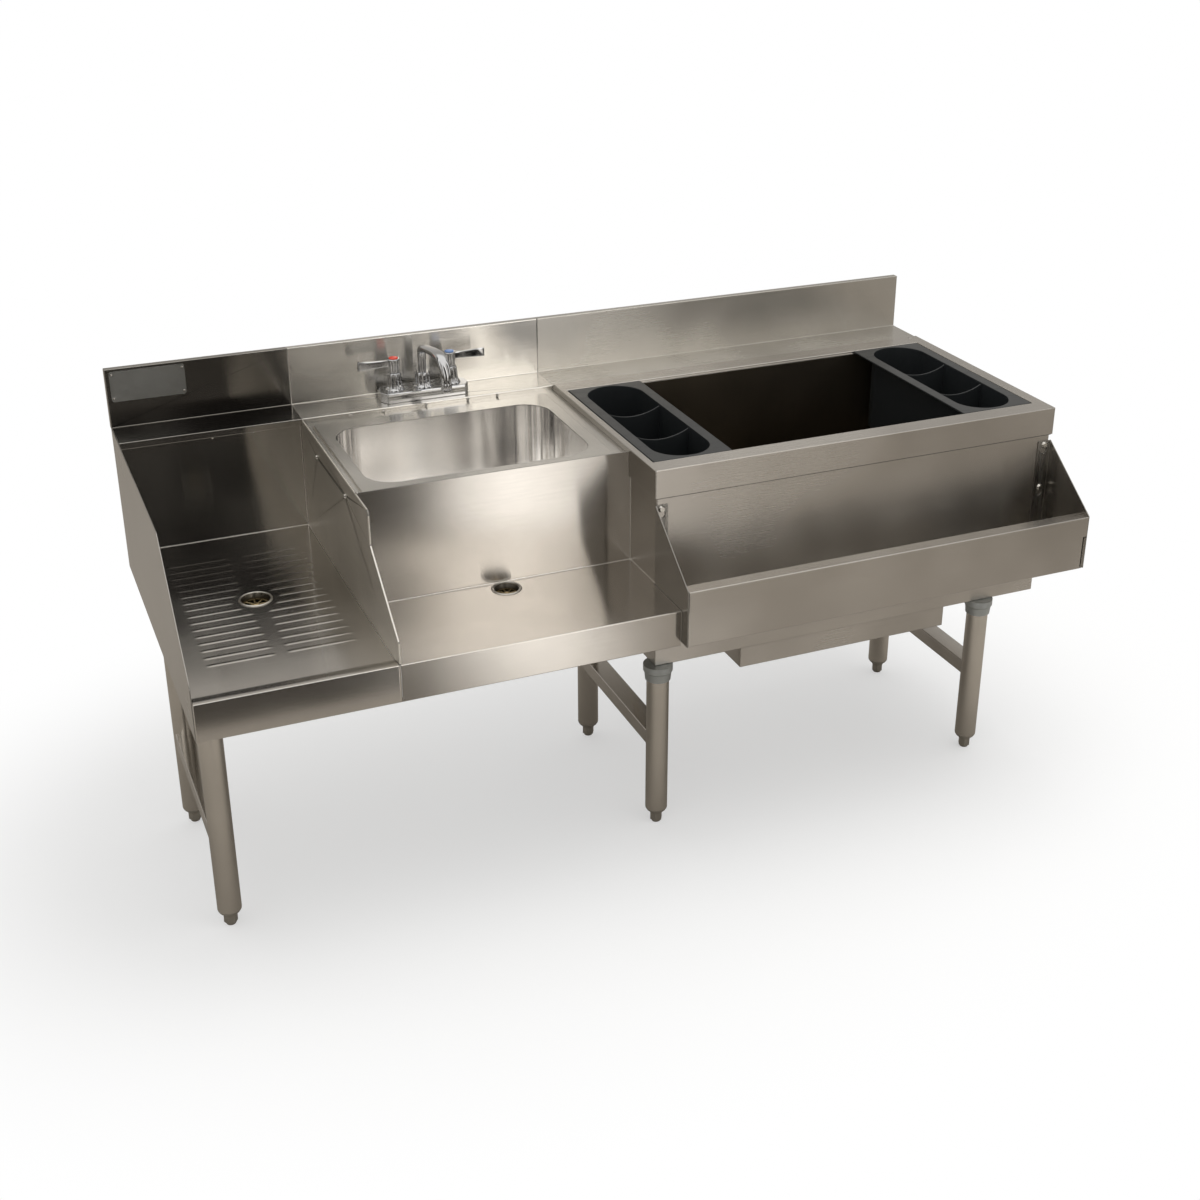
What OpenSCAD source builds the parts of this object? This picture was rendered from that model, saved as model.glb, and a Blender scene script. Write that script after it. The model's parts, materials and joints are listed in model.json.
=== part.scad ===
// Underbar workstation: ribbed drainboard, bar sink with deck faucet, insulated ice
// bin with bottle wells and a bottle rail, on six tube legs with bullet feet.
// Millimetres. X runs right along the bench, Y back to the wall, Z up. The origin is
// on the floor under the middle of the bench. Inside the file, lengths along X are
// counted from the left end and depths along Y are counted forward (negative) from
// the face of the backsplash.

/* [Bench] */
// Width of the drainboard section
drain_w = 304.8; // [300:0.1:320]
// Width of the sink section
sink_w = 457.2; // [450:0.1:480]
// Width of the ice bin section
bin_w = 762; // [750:0.5:790]
// Height of the top of the backsplash
splash_top = 762; // [750:1:800]
// Thickness of the backsplash box at its top return
splash_t = 12.7; // [8:0.1:25]
// Height of the ledge behind the sink
ledge_top = 660.4; // [655:0.1:662]
// Depth of the ledge in front of the backsplash
ledge_d = 79.4; // [76:0.1:80]
// Height of the rolled nose of the ledge
nose_h = 12; // [8:0.5:16]
// Depth from the backsplash to the front aprons
bench_d = 637; // [630:1:645]
// Thickness of the sheet metal
sheet = 1.5; // [1.2:0.1:2]
// Width of the gap that shows between neighbouring backsplash panels
seam = 0.5; // [0.2:0.1:1]

/* [Drainboard] */
// Height of the front edge of drainboard and shelf
front_top = 464; // [460:1:468]
// Height of the front aprons
apron_h = 62; // [50:1:70]
// How far the drainboard floor lies below its front edge
floor_drop = 4; // [2:0.5:6]
// Depth of the riser behind the drainboard
riser_d = 68; // [60:1:74]
// Number of raised ribs in each column
rib_count = 16; // [8:1:18]
// Distance between the ribs
rib_pitch = 24.4; // [20:0.1:25]
// Radius of the round back of a rib
rib_r = 3.6; // [3:0.1:4]
// Height of a rib above the floor
rib_h = 1.5; // [1:0.1:2]
// Thickness of the folded divider beside the sink
divider_t = 3; // [2:0.5:4]

/* [Sink] */
// Depth from the backsplash to the sink's apron
sink_d = 427; // [420:1:435]
// Height of the sink deck
deck_top = 658; // [654:0.5:660]
// Width of the bowl opening
bowl_w = 377; // [340:1:390]
// Length of the bowl opening, front to back
bowl_l = 262; // [240:1:270]
// Depth of the bowl below the deck
bowl_h = 250; // [200:1:252]
// Corner and bottom radius of the bowl
bowl_r = 50; // [35:1:60]

/* [Ice bin] */
// Depth from the backsplash to the band round the bin
bin_d = 534; // [520:1:545]
// Height of the rim of the bin
bin_top = 663; // [662:0.5:668]
// Height of the underside of the bin
bin_bottom = 311; // [300:1:330]
// Height of the band round the rim
band_h = 48.5; // [40:0.5:60]
// How far the band stands proud of the bin
band_proud = 3; // [2:0.5:5]
// Height of the floor inside the bin
bin_floor = 358; // [350:1:370]
// Width of one bottle well flange
well_w = 140; // [130:1:150]
// Depth of a bottle well
well_h = 140; // [100:1:180]
// How far the dividers of a well are scooped out
well_scoop = 14; // [8:1:20]

/* [Bottle rail] */
// Depth from the backsplash to the face of the rail
rail_d = 660; // [650:1:680]
// Height of the top edge of the rail
rail_top = 506; // [490:1:520]
// Height of the underside of the rail
rail_bottom = 409; // [400:1:420]
// Width of the folded top edge
rail_lip = 25; // [15:1:30]
// Height of the rail's ends where they meet the bin
rail_end_top = 603; // [590:1:604]
// How far the rail lifts off its studs
rail_lift = 10; // [8:1:10]

/* [Faucet] */
// Distance between the two valves
valve_centres = 101.6; // [101.6:0.1:102]
// Depth of the valve axes in front of the backsplash
valve_d = 40; // [36:1:44]
// Length of the lever from the valve axis
lever_l = 64; // [50:1:75]
// Reach of the spout
spout_reach = 116; // [90:1:140]
// Turn of the spout to the right at rest
spout_turn = 4; // [0:1:20]

/* [Legs] */
// Outside diameter of the legs
leg_d = 38.1; // [38.1:0.1:41.3]
// Wall thickness of the legs
leg_wall = 1.5; // [1.2:0.1:2]
// Height of the lower end of the tubes
leg_foot = 30; // [28:1:34]
// Depth of the front legs
leg_front = 522; // [500:1:530]
// Depth of the rear legs
leg_rear = 207; // [180:1:240]
// Height of the underside of the cross rails
cross_z = 156; // [120:1:200]

/* [Hidden] */
$fn = 64;

steel = "#b3aca3";
bright_steel = "#cfc8be";
chrome = "#e2e4e6";
black_plastic = "#1d1f21";
grey_casting = "#a9aca8";
brass = "#a08a52";
foam = "#d8c9a0";

overall_w = drain_w + sink_w + bin_w;
x_sink = drain_w;
x_bin = drain_w + sink_w;
centre_y = (rail_d - splash_t) / 2;
hair = 0.01;

// Drainboard
floor_top = front_top - floor_drop;
floor_rise_d = 14;
front_flat_d = 11;
return_w = 12;
end_panel_bottom = front_top - apron_h + 2;
end_slope_top_d = 466;
end_slope_low_d = 632;
end_slope_low_z = 498;
end_return_w = 15;
end_return_gap = 20;
drain_x = 155.5;
drain_d = 327;
rib_first_d = 156;
rib_columns = [[45, 141], [166, 266]];
rib_clear_r = 36;
channel_w = 60;
channel_h = 18;
channel_front_d = 600;
channel_rear_d = 90;
leg_x_left = 35;
splash_lip = 20;

// Divider beside the sink: top front corner, foot of its nose and slope
divider_x0 = x_sink - divider_t / 2;
divider_x1 = x_sink + divider_t / 2;
divider_top_d = 502;
divider_nose_z = 602;
divider_slope_z = 501;
divider_corner_r = 8;
divider_screw_spots = [[180, 627.5], [365, 629.6]];

// Sink deck: a raised plate inside a lower gutter on three sides
gutter_drop = 5;
deck_x0 = x_sink + 11;
deck_x1 = x_bin - 26;
deck_rear_d = 110;
section_x0 = divider_x1 + 0.2;
section_x1 = x_bin - 1.5;
bowl_x = (deck_x0 + deck_x1) / 2 - 2;
bowl_d = 277;
bowl_flange = 12;
bowl_t = 1.2;
shelf_drain_x = 535;
shelf_drain_d = sink_d + 25.5;

// Ice bin
rim_x0 = x_bin - 1.5;
rim_x1 = overall_w;
rim_rear_d = 82;
well_x0 = x_bin + 10;
well_x1 = overall_w - 22;
well_rear_d = 121;
well_front_d = 497;
seat_drop = 4;
seat_w = 12;
seat_end_w = 4;
slot_low = 10;
shell_x0 = rim_x0 + band_proud + 0.5;
shell_x1 = rim_x1 - band_proud - 2;
shell_front_d = bin_d - band_proud;
shell_rear_d = 84;
liner_r = 18;
liner_t = 1.2;
plate_x0 = x_bin + 183;
plate_x1 = x_bin + 597;
plate_front_d = 491;
plate_rear_d = 190;
plate_drop = 61;
plate_inset = 20;
plate_h = 38;
bin_drain_x = x_bin + 98;
bin_drain_d = 300;

// Wastes: flange radius, bore radius, length of the body, then the radius and the
// length of the tailpiece
drainboard_waste = [27, 21, 32, 19.05, 30];
shelf_waste = [25, 18, 32, 16, 30];
sink_waste = [30, 22, 32, 19.05, 40];
bin_waste = [25, 16, 60, 16.7, 25];
waste_wall = 2;
waste_gap = 0.2;
waste_neck = 6;
waste_flange_t = 1.8;
tail_wall = 1.5;
cross_bar_w = 3;
cross_bar_h = 4;
cross_bar_low = 9;
function waste_body_r(sizes) = sizes[1] + waste_wall;

// Bottle wells
flange_t = 3.5;
flange_gap = 0.4;
well_edge_gap = 2;
tub_t = 2.5;
tub_w = 107;
tub_end_gap = 0.8;
well_divider_d = [368.5, 249];
well_corner_r = 3;

// Bottle rail
rail_x0 = x_bin - 0.5;
rail_x1 = overall_w - 0.5;
rail_hem_h = 36;
rail_hem = 0.8;
rail_gap = 0.3;
rail_flange_w = 22;
rail_rear_lip = 30;
rail_cut = 7;
rail_turn = 8;
rail_tab_w = 14;
rail_tab_lap = 6;
stud_r = 3;
stud_head_r = 6;
stud_inset = 9;
stud_heights = [596, 516];
key_r = 6.8;

// Faucet
faucet_x = 531;
body_w = 160;
body_l = 50;
body_h = 18;
body_cut_x = 9;
body_cut_y = 15;
body_z = ledge_top;
valve_x = [faucet_x - valve_centres / 2, faucet_x + valve_centres / 2];
bonnet_top = body_z + body_h + 31;
stem_r = 4;
hub_h = 25.5;
run = 0.06;
shank_r = 11;
shank_tail_r = 10.4;
shank_bore_r = 7;
shank_tail_l = 38;
shank_bottom = 606;
shank_washer_r = 18;
shank_nut_r = 17;
spout_r = 7.5;
spout_socket = 7;

// Legs
leg_x_middle = x_bin + 12;
leg_x_right = x_bin + 649;
socket_h = 28;
socket_plate = 3;
cross_w = 35;
cross_h = 25;
foot_fit = 0.1;
foot_stem = 42;
foot_hex_r = 11;
foot_hex_z = [4, 20];
socket_r = 25;

// ---------- helpers ----------

// Puts the bench frame's origin on the floor under its middle
module on_floor() {
    translate([-overall_w / 2, centre_y, 0])
        children();
}

// Turns an outline drawn as (Y, Z) into a sheet or bar that runs along X
module along_x(x0, x1) {
    translate([x0, 0, 0])
        rotate([90, 0, 90])
            linear_extrude(x1 - x0)
                children();
}

// A box between two corners
module block(x0, x1, y0, y1, z0, z1) {
    translate([x0, y0, z0])
        cube([x1 - x0, y1 - y0, z1 - z0]);
}

// An outline rectangle between two corners
module rect(x0, x1, y0, y1) {
    translate([x0, y0])
        square([x1 - x0, y1 - y0]);
}

// A rectangle with round corners
module round_rect(x0, x1, y0, y1, r) {
    rect(x0 + r, x1 - r, y0, y1);
    rect(x0, x1, y0 + r, y1 - r);
    for (x = [x0 + r, x1 - r])
        for (y = [y0 + r, y1 - r])
            translate([x, y])
                circle(r);
}

// A block with round upright corners and round bottom edges
module tub(x0, x1, y0, y1, z0, z1, r) {
    translate([0, 0, z0 + r])
        linear_extrude(z1 - z0 - r)
            round_rect(x0, x1, y0, y1, r);
    block(x0 + r, x1 - r, y0 + r, y1 - r, z0, z0 + r + hair);
    for (y = [y0 + r, y1 - r])
        translate([x0 + r, y, z0 + r])
            rotate([0, 90, 0])
                cylinder(h = x1 - x0 - 2 * r, r = r);
    for (x = [x0 + r, x1 - r])
        translate([x, y1 - r, z0 + r])
            rotate([90, 0, 0])
                cylinder(h = y1 - y0 - 2 * r, r = r);
    for (x = [x0 + r, x1 - r])
        for (y = [y0 + r, y1 - r])
            translate([x, y, z0 + r])
                sphere(r);
}

// An upright cylinder in bench coordinates, at depth d in front of the backsplash
module post(x, d, z0, z1, r) {
    translate([x, -d, z0])
        cylinder(h = z1 - z0, r = r);
}

// ---------- backsplash and ledge ----------

// Folded section: upright face, top return, ledge and rolled nose
module splash_outline() {
    rect(0, sheet, ledge_top - sheet, splash_top);
    rect(0, splash_t, splash_top - sheet, splash_top);
    rect(splash_t - sheet, splash_t, splash_top - splash_lip, splash_top);
    rect(-ledge_d, sheet, ledge_top - sheet, ledge_top);
    rect(-ledge_d, -ledge_d + sheet, ledge_top - nose_h, ledge_top);
}

// The same section carried down behind the drainboard
module riser_outline() {
    rect(-ledge_d, -riser_d, ledge_top - nose_h, ledge_top - nose_h + sheet);
    rect(-riser_d, -riser_d + sheet, floor_top - sheet, ledge_top - nose_h + sheet);
}

// Cap that closes the open end of the backsplash
module splash_cap(x) {
    block(x, x + sheet, 0, splash_t, ledge_top - sheet, splash_top);
}

module splash_left() {
    color(steel) on_floor() {
        along_x(sheet, drain_w - seam / 2) {
            splash_outline();
            riser_outline();
        }
        splash_cap(0);
    }
}

module splash_middle() {
    color(bright_steel) on_floor()
        difference() {
            along_x(x_sink + seam / 2, x_bin - seam / 2)
                splash_outline();
            for (x = valve_x)
                post(x, valve_d, ledge_top - 4, ledge_top + 2, shank_r + 1);
        }
}

module splash_right() {
    color(steel) on_floor() {
        along_x(x_bin + seam / 2, overall_w)
            splash_outline();
        splash_cap(overall_w - sheet);
    }
}

// ---------- drainboard ----------

module left_end_panel() {
    color(bright_steel) on_floor() {
        along_x(0, sheet)
            polygon([
                [0, end_panel_bottom],
                [0, ledge_top],
                [-end_slope_top_d, ledge_top],
                [-end_slope_low_d, end_slope_low_z],
                [-bench_d, end_slope_low_z - 8],
                [-bench_d, end_panel_bottom]
            ]);
        block(0, end_return_w, -bench_d + end_return_gap, -end_return_gap,
              end_panel_bottom, end_panel_bottom + sheet);
    }
}

// Outline of the drainboard: floor, raised front edge, apron and its return
module drainboard_outline() {
    polygon([
        [-riser_d, floor_top],
        [-bench_d + front_flat_d + floor_rise_d, floor_top],
        [-bench_d + front_flat_d, front_top],
        [-bench_d, front_top],
        [-bench_d, front_top - apron_h],
        [-bench_d + sheet, front_top - apron_h],
        [-bench_d + sheet, front_top - sheet],
        [-bench_d + front_flat_d, front_top - sheet],
        [-bench_d + front_flat_d + floor_rise_d, floor_top - sheet],
        [-riser_d, floor_top - sheet]
    ]);
    rect(-bench_d, -bench_d + return_w, front_top - apron_h, front_top - apron_h + sheet);
}

// One rib with round ends, lying along X with its back above the floor
module rib(x0, x1, y) {
    translate([x0 + rib_r, y, floor_top + rib_h - rib_r]) {
        rotate([0, 90, 0])
            cylinder(h = x1 - x0 - 2 * rib_r, r = rib_r, $fn = 24);
        sphere(rib_r, $fn = 24);
        translate([x1 - x0 - 2 * rib_r, 0, 0])
            sphere(rib_r, $fn = 24);
    }
}

// Half the length along X that the drain takes from a rib at distance dy from it
function rib_gap(dy) = abs(dy) < rib_clear_r ? sqrt(rib_clear_r * rib_clear_r - dy * dy) : 0;

module ribs() {
    for (i = [0 : rib_count - 1]) {
        d = rib_first_d + i * rib_pitch;
        gap = rib_gap(d - drain_d);
        rib(rib_columns[0][0], min(rib_columns[0][1], drain_x - gap), -d);
        rib(max(rib_columns[1][0], drain_x + gap), rib_columns[1][1], -d);
    }
}

module drainboard() {
    color(steel) on_floor()
        difference() {
            union() {
                along_x(sheet, x_sink - seam / 2)
                    drainboard_outline();
                intersection() {
                    ribs();
                    block(0, drain_w, -bench_d, 0, floor_top - sheet, floor_top + 10);
                }
            }
            post(drain_x, drain_d, floor_top - 5, floor_top + 5, waste_body_r(drainboard_waste) + waste_gap);
        }
}

// Hat channel that carries the left pair of legs
module drainboard_channel() {
    z1 = floor_top - sheet;
    z0 = z1 - channel_h;
    color(steel) on_floor()
        difference() {
            block(leg_x_left - channel_w / 2, leg_x_left + channel_w / 2,
                  -channel_front_d, -channel_rear_d, z0, z1);
            block(leg_x_left - channel_w / 2 + sheet, leg_x_left + channel_w / 2 - sheet,
                  -channel_front_d - 1, -channel_rear_d + 1, z0 + sheet, z1 + 1);
        }
}

// Side outline of the divider above the level of the shelf
module divider_outline() {
    r = divider_corner_r;
    polygon([
        [-riser_d, front_top],
        [-riser_d, ledge_top - nose_h],
        [-ledge_d, ledge_top - nose_h],
        [-ledge_d, deck_top],
        [-divider_top_d + r, deck_top],
        [-divider_top_d, deck_top - r],
        [-divider_top_d, divider_nose_z],
        [-bench_d + 2, divider_slope_z],
        [-bench_d + 2, front_top]
    ]);
    translate([-divider_top_d + r, deck_top - r])
        circle(r);
}

// The divider's left skin reaches down to the drainboard floor
module divider_foot_outline() {
    polygon([
        [-riser_d, floor_top],
        [-riser_d, front_top + hair],
        [-bench_d + front_flat_d, front_top + hair],
        [-bench_d + front_flat_d, front_top],
        [-bench_d + front_flat_d + floor_rise_d, floor_top]
    ]);
}

module left_divider() {
    color(steel) on_floor()
        difference() {
            union() {
                along_x(divider_x0, divider_x1)
                    divider_outline();
                along_x(divider_x0, x_sink - seam / 2)
                    divider_foot_outline();
            }
            for (spot = divider_screw_spots)
                translate([divider_x0 - 1, -spot[0], spot[1]])
                    rotate([0, 90, 0])
                        cylinder(h = divider_t + 2, r = side_screw_r + 0.05);
        }
}

side_screw_r = 2;

// Pan head screw whose head faces left
module side_screw(x, d, z) {
    translate([x, -d, z])
        rotate([0, 90, 0]) {
            translate([0, 0, -2.4])
                cylinder(h = 2.4, r1 = 2.6, r2 = 4);
            cylinder(h = divider_t + 4, r = side_screw_r);
        }
}

module divider_screws() {
    color(chrome) on_floor()
        for (spot = divider_screw_spots)
            side_screw(divider_x0, spot[0], spot[1]);
}

// ---------- sink ----------

bowl_x0 = bowl_x - bowl_w / 2;
bowl_x1 = bowl_x + bowl_w / 2;
bowl_y0 = -bowl_d - bowl_l / 2;
bowl_y1 = -bowl_d + bowl_l / 2;

module sink_deck() {
    z0 = deck_top - sheet;
    low = deck_top - gutter_drop;
    front = -sink_d + sheet;
    color(bright_steel) on_floor()
        difference() {
            union() {
                block(deck_x0, deck_x1, front, -deck_rear_d, z0, deck_top);
                difference() {
                    block(section_x0, section_x1, front, -ledge_d, low - sheet, low);
                    block(deck_x0 + sheet, deck_x1 - sheet, front - 1, -deck_rear_d - sheet,
                          low - 3, low + 1);
                }
                block(deck_x0, deck_x0 + sheet, front, -deck_rear_d, low - sheet, deck_top);
                block(deck_x1 - sheet, deck_x1, front, -deck_rear_d, low - sheet, deck_top);
                block(deck_x0, deck_x1, -deck_rear_d - sheet, -deck_rear_d,
                      low - sheet, deck_top);
            }
            translate([0, 0, deck_top - 10])
                linear_extrude(20)
                    round_rect(bowl_x0, bowl_x1, bowl_y0, bowl_y1, bowl_r);
        }
}

module sink_bowl() {
    t = bowl_t;
    z0 = deck_top - bowl_h;
    z1 = deck_top - sheet;
    color(bright_steel) on_floor()
        difference() {
            union() {
                tub(bowl_x0 - t, bowl_x1 + t, bowl_y0 - t, bowl_y1 + t, z0 - t, z1, bowl_r + t);
                translate([0, 0, z1 - t])
                    linear_extrude(t)
                        round_rect(bowl_x0 - bowl_flange, bowl_x1 + bowl_flange,
                                   bowl_y0 - bowl_flange, bowl_y1 + bowl_flange,
                                   bowl_r + bowl_flange);
            }
            tub(bowl_x0, bowl_x1, bowl_y0, bowl_y1, z0, z1 + 40, bowl_r);
            post(bowl_x, bowl_d, z0 - 10, z0 + 1, waste_body_r(sink_waste) + waste_gap);
        }
}

module sink_apron() {
    color(bright_steel) on_floor() {
        block(section_x0, section_x1, -sink_d, -sink_d + sheet, front_top - sheet, deck_top);
        block(section_x1, shell_x0, -sink_d, -sink_d + sheet, front_top - sheet,
              bin_top - band_h - 0.3);
    }
}

// Shelf with its front apron and the return below it
module sink_shelf() {
    color(bright_steel) on_floor()
        difference() {
            union() {
                along_x(x_sink + seam / 2, section_x1) {
                    rect(-bench_d, -sink_d, front_top - sheet, front_top);
                    rect(-bench_d, -bench_d + sheet, front_top - apron_h, front_top);
                    rect(-bench_d, -bench_d + return_w, front_top - apron_h,
                         front_top - apron_h + sheet);
                }
                block(section_x1, shell_x0, -shell_front_d, -sink_d, front_top - sheet,
                      front_top);
            }
            post(shelf_drain_x, shelf_drain_d, front_top - 5, front_top + 5,
                 waste_body_r(shelf_waste) + waste_gap);
        }
}

// ---------- drains ----------

// Flanged waste: flange on the floor at height z, body, and a plain tailpiece
module waste(x, d, z, sizes) {
    flange_r = sizes[0];
    bore_r = sizes[1];
    body_l = sizes[2];
    tail_r = sizes[3];
    body_r = waste_body_r(sizes);
    end_z = -body_l - waste_neck - sizes[4];
    translate([x, -d, z])
        rotate_extrude()
            polygon([
                [bore_r, 0.4],
                [bore_r + 1.6, waste_flange_t],
                [flange_r - 2, waste_flange_t],
                [flange_r, 0],
                [body_r, 0],
                [body_r, -body_l],
                [tail_r, -body_l - waste_neck],
                [tail_r, end_z],
                [tail_r - tail_wall, end_z],
                [tail_r - tail_wall, -body_l - waste_neck],
                [bore_r, -body_l]
            ]);
}

// Cross of two bars inside a waste
module waste_cross(x, d, z, sizes) {
    reach = sizes[1] + 0.5;
    for (turn = [45, 135])
        translate([x, -d, z])
            rotate([0, 0, turn])
                translate([-reach, -cross_bar_w / 2, -cross_bar_low])
                    cube([2 * reach, cross_bar_w, cross_bar_h]);
}

module drainboard_drain() {
    color(brass) on_floor() {
        waste(drain_x, drain_d, floor_top, drainboard_waste);
        waste_cross(drain_x, drain_d, floor_top, drainboard_waste);
    }
}

module shelf_drain() {
    color(brass) on_floor() {
        waste(shelf_drain_x, shelf_drain_d, front_top, shelf_waste);
        waste_cross(shelf_drain_x, shelf_drain_d, front_top, shelf_waste);
    }
}

module sink_drain() {
    color(chrome) on_floor()
        waste(bowl_x, bowl_d, deck_top - bowl_h, sink_waste);
}

module bin_drain() {
    color(chrome) on_floor()
        waste(bin_drain_x, bin_drain_d, bin_floor, bin_waste);
}

// Where each locknut sits: x, depth, height of the sheet's underside, body radius
waste_spots = [
    [drain_x, drain_d, floor_top - sheet, waste_body_r(drainboard_waste)],
    [shelf_drain_x, shelf_drain_d, front_top - sheet, waste_body_r(shelf_waste)],
    [bowl_x, bowl_d, deck_top - bowl_h - bowl_t, waste_body_r(sink_waste)],
    [bin_drain_x, bin_drain_d, bin_bottom, waste_body_r(bin_waste)]
];
gasket_h = 2.5;
gasket_w = 7;
locknut_h = 9;
locknut_w = 9;

module drain_gaskets() {
    color("#2a2a2a") on_floor()
        for (s = waste_spots)
            difference() {
                post(s[0], s[1], s[2] - gasket_h, s[2], s[3] + gasket_w);
                post(s[0], s[1], s[2] - gasket_h - 1, s[2] + 1, s[3] + 0.05);
            }
}

module drain_locknuts() {
    color(brass) on_floor()
        for (s = waste_spots)
            difference() {
                translate([s[0], -s[1], s[2] - gasket_h - locknut_h])
                    cylinder(h = locknut_h, r = s[3] + locknut_w, $fn = 8);
                post(s[0], s[1], s[2] - gasket_h - locknut_h - 1, s[2], s[3] + 0.05);
            }
}

// ---------- ice bin ----------

// Rim: flat frame with a seat for the wells, and the band round front and sides
module bin_rim() {
    z1 = bin_top;
    seat = z1 - seat_drop;
    rear = -rim_rear_d;
    color(steel) on_floor()
        difference() {
            union() {
                block(rim_x0, rim_x1, -bin_d, rear, z1 - sheet, z1);
                block(well_x0 - sheet, well_x1 + sheet, -well_front_d - sheet,
                      -well_rear_d + sheet, seat - sheet, z1);
                block(rim_x0, rim_x1, -bin_d, -bin_d + sheet, z1 - band_h, z1);
                block(rim_x0, rim_x0 + sheet, -bin_d, rear, z1 - band_h, z1);
                block(rim_x1 - sheet, rim_x1, -bin_d, rear, z1 - band_h, z1);
                block(rim_x0, rim_x1, rear - sheet, rear, z1 - slot_low - sheet, z1);
                block(rim_x0, rim_x1, rear - hair, -ledge_d, z1 - slot_low - sheet,
                      z1 - slot_low);
            }
            block(well_x0, well_x1, -well_front_d, -well_rear_d, seat, z1 + 1);
            block(well_x0 + seat_w, well_x1 - seat_w, -well_front_d + seat_end_w,
                  -well_rear_d - seat_end_w, seat - 5, z1 + 1);
        }
}

liner_x0 = well_x0 + seat_w;
liner_x1 = well_x1 - seat_w;
liner_y0 = -well_front_d + seat_end_w;
liner_y1 = -well_rear_d - seat_end_w;
liner_z1 = bin_top - seat_drop - sheet;

// Space that the liner and its drain take out of the foam
module liner_outside() {
    tub(liner_x0 - liner_t, liner_x1 + liner_t, liner_y0 - liner_t, liner_y1 + liner_t,
        bin_floor - liner_t, liner_z1, liner_r + liner_t);
}

module bin_liner() {
    color("#4a423a") on_floor()
        difference() {
            liner_outside();
            tub(liner_x0, liner_x1, liner_y0, liner_y1, bin_floor, liner_z1 + 30, liner_r);
            post(bin_drain_x, bin_drain_d, bin_floor - 5, bin_floor + 1,
                 waste_body_r(bin_waste) + waste_gap);
        }
}

module bin_insulation() {
    color(foam) on_floor()
        difference() {
            block(shell_x0 + sheet, shell_x1 - sheet, -shell_front_d + sheet,
                  -shell_rear_d - sheet, bin_bottom + sheet, liner_z1 - 4);
            liner_outside();
            translate([0, 0, bin_floor])
                linear_extrude(400)
                    rect(liner_x0 - liner_t, liner_x1 + liner_t,
                         liner_y0 - liner_t, liner_y1 + liner_t);
            cold_plate_block(0.2);
            post(bin_drain_x, bin_drain_d, bin_bottom, bin_floor + 1, waste_body_r(bin_waste) + 1);
        }
}

module bin_shell() {
    color(steel) on_floor()
        difference() {
            block(shell_x0, shell_x1, -shell_front_d, -shell_rear_d, bin_bottom,
                  bin_top - sheet);
            block(shell_x0 + sheet, shell_x1 - sheet, -shell_front_d + sheet,
                  -shell_rear_d - sheet, bin_bottom + sheet, bin_top + 1);
            post(bin_drain_x, bin_drain_d, bin_bottom - 1, bin_bottom + 5,
                 waste_body_r(bin_waste) + waste_gap);
        }
}

// Cast block under the bin floor, in which drinks are chilled by the ice
module cold_plate_block(grow) {
    block(plate_x0 + plate_inset - grow, plate_x1 - plate_inset + grow,
          -plate_front_d + plate_inset - grow, -plate_rear_d - plate_inset + grow,
          bin_floor - liner_t - plate_h - grow, bin_floor - liner_t);
}

module cold_plate() {
    color("#b9bcc0") on_floor()
        cold_plate_block(0);
}

// Shallow welded box below the bin
module cold_plate_housing() {
    z0 = bin_bottom - plate_drop;
    color(steel) on_floor()
        difference() {
            block(plate_x0, plate_x1, -plate_front_d, -plate_rear_d, z0, bin_bottom);
            block(plate_x0 + sheet, plate_x1 - sheet, -plate_front_d + sheet,
                  -plate_rear_d - sheet, z0 + sheet, bin_bottom + 1);
        }
}

// ---------- bottle wells ----------

// A plan with half-round ends, between two depths
module long_round(x, half_w, y0, y1) {
    rect(x - half_w, x + half_w, y0 + half_w, y1 - half_w);
    for (y = [y0 + half_w, y1 - half_w])
        translate([x, y])
            circle(half_w);
}

// Flange on the bin's seat, a round-ended tub, and scooped dividers
module bottle_well(x0) {
    x1 = x0 + well_w;
    xm = (x0 + x1) / 2;
    seat = bin_top - seat_drop + flange_gap;
    y0 = -well_front_d + flange_gap;
    y1 = -well_rear_d - flange_gap;
    tub_y0 = liner_y0 + tub_end_gap;
    tub_y1 = liner_y1 - tub_end_gap;
    half = tub_w / 2;
    low = seat + flange_t - well_h;
    scoop_r = (half * half + well_scoop * well_scoop) / (2 * well_scoop);
    difference() {
        union() {
            translate([0, 0, seat])
                linear_extrude(flange_t)
                    round_rect(x0, x1, y0, y1, well_corner_r);
            translate([0, 0, low])
                linear_extrude(well_h - 1)
                    long_round(xm, half, tub_y0, tub_y1);
        }
        difference() {
            translate([0, 0, low + tub_t])
                linear_extrude(well_h)
                    long_round(xm, half - tub_t, tub_y0 + tub_t, tub_y1 - tub_t);
            for (d = well_divider_d)
                difference() {
                    block(x0, x1, -d - tub_t / 2, -d + tub_t / 2, low,
                          seat + flange_t - 2);
                    translate([xm, -d + tub_t, seat + flange_t - 2 + scoop_r - well_scoop])
                        rotate([90, 0, 0])
                            cylinder(h = 2 * tub_t, r = scoop_r, $fn = 96);
                }
        }
    }
}

module bottle_well_left() {
    color(black_plastic) on_floor()
        bottle_well(well_x0 + well_edge_gap);
}

module bottle_well_right() {
    color(black_plastic) on_floor()
        bottle_well(well_x1 - well_w - well_edge_gap);
}

// ---------- bottle rail ----------

rail_back = -shell_front_d - rail_gap;

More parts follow.
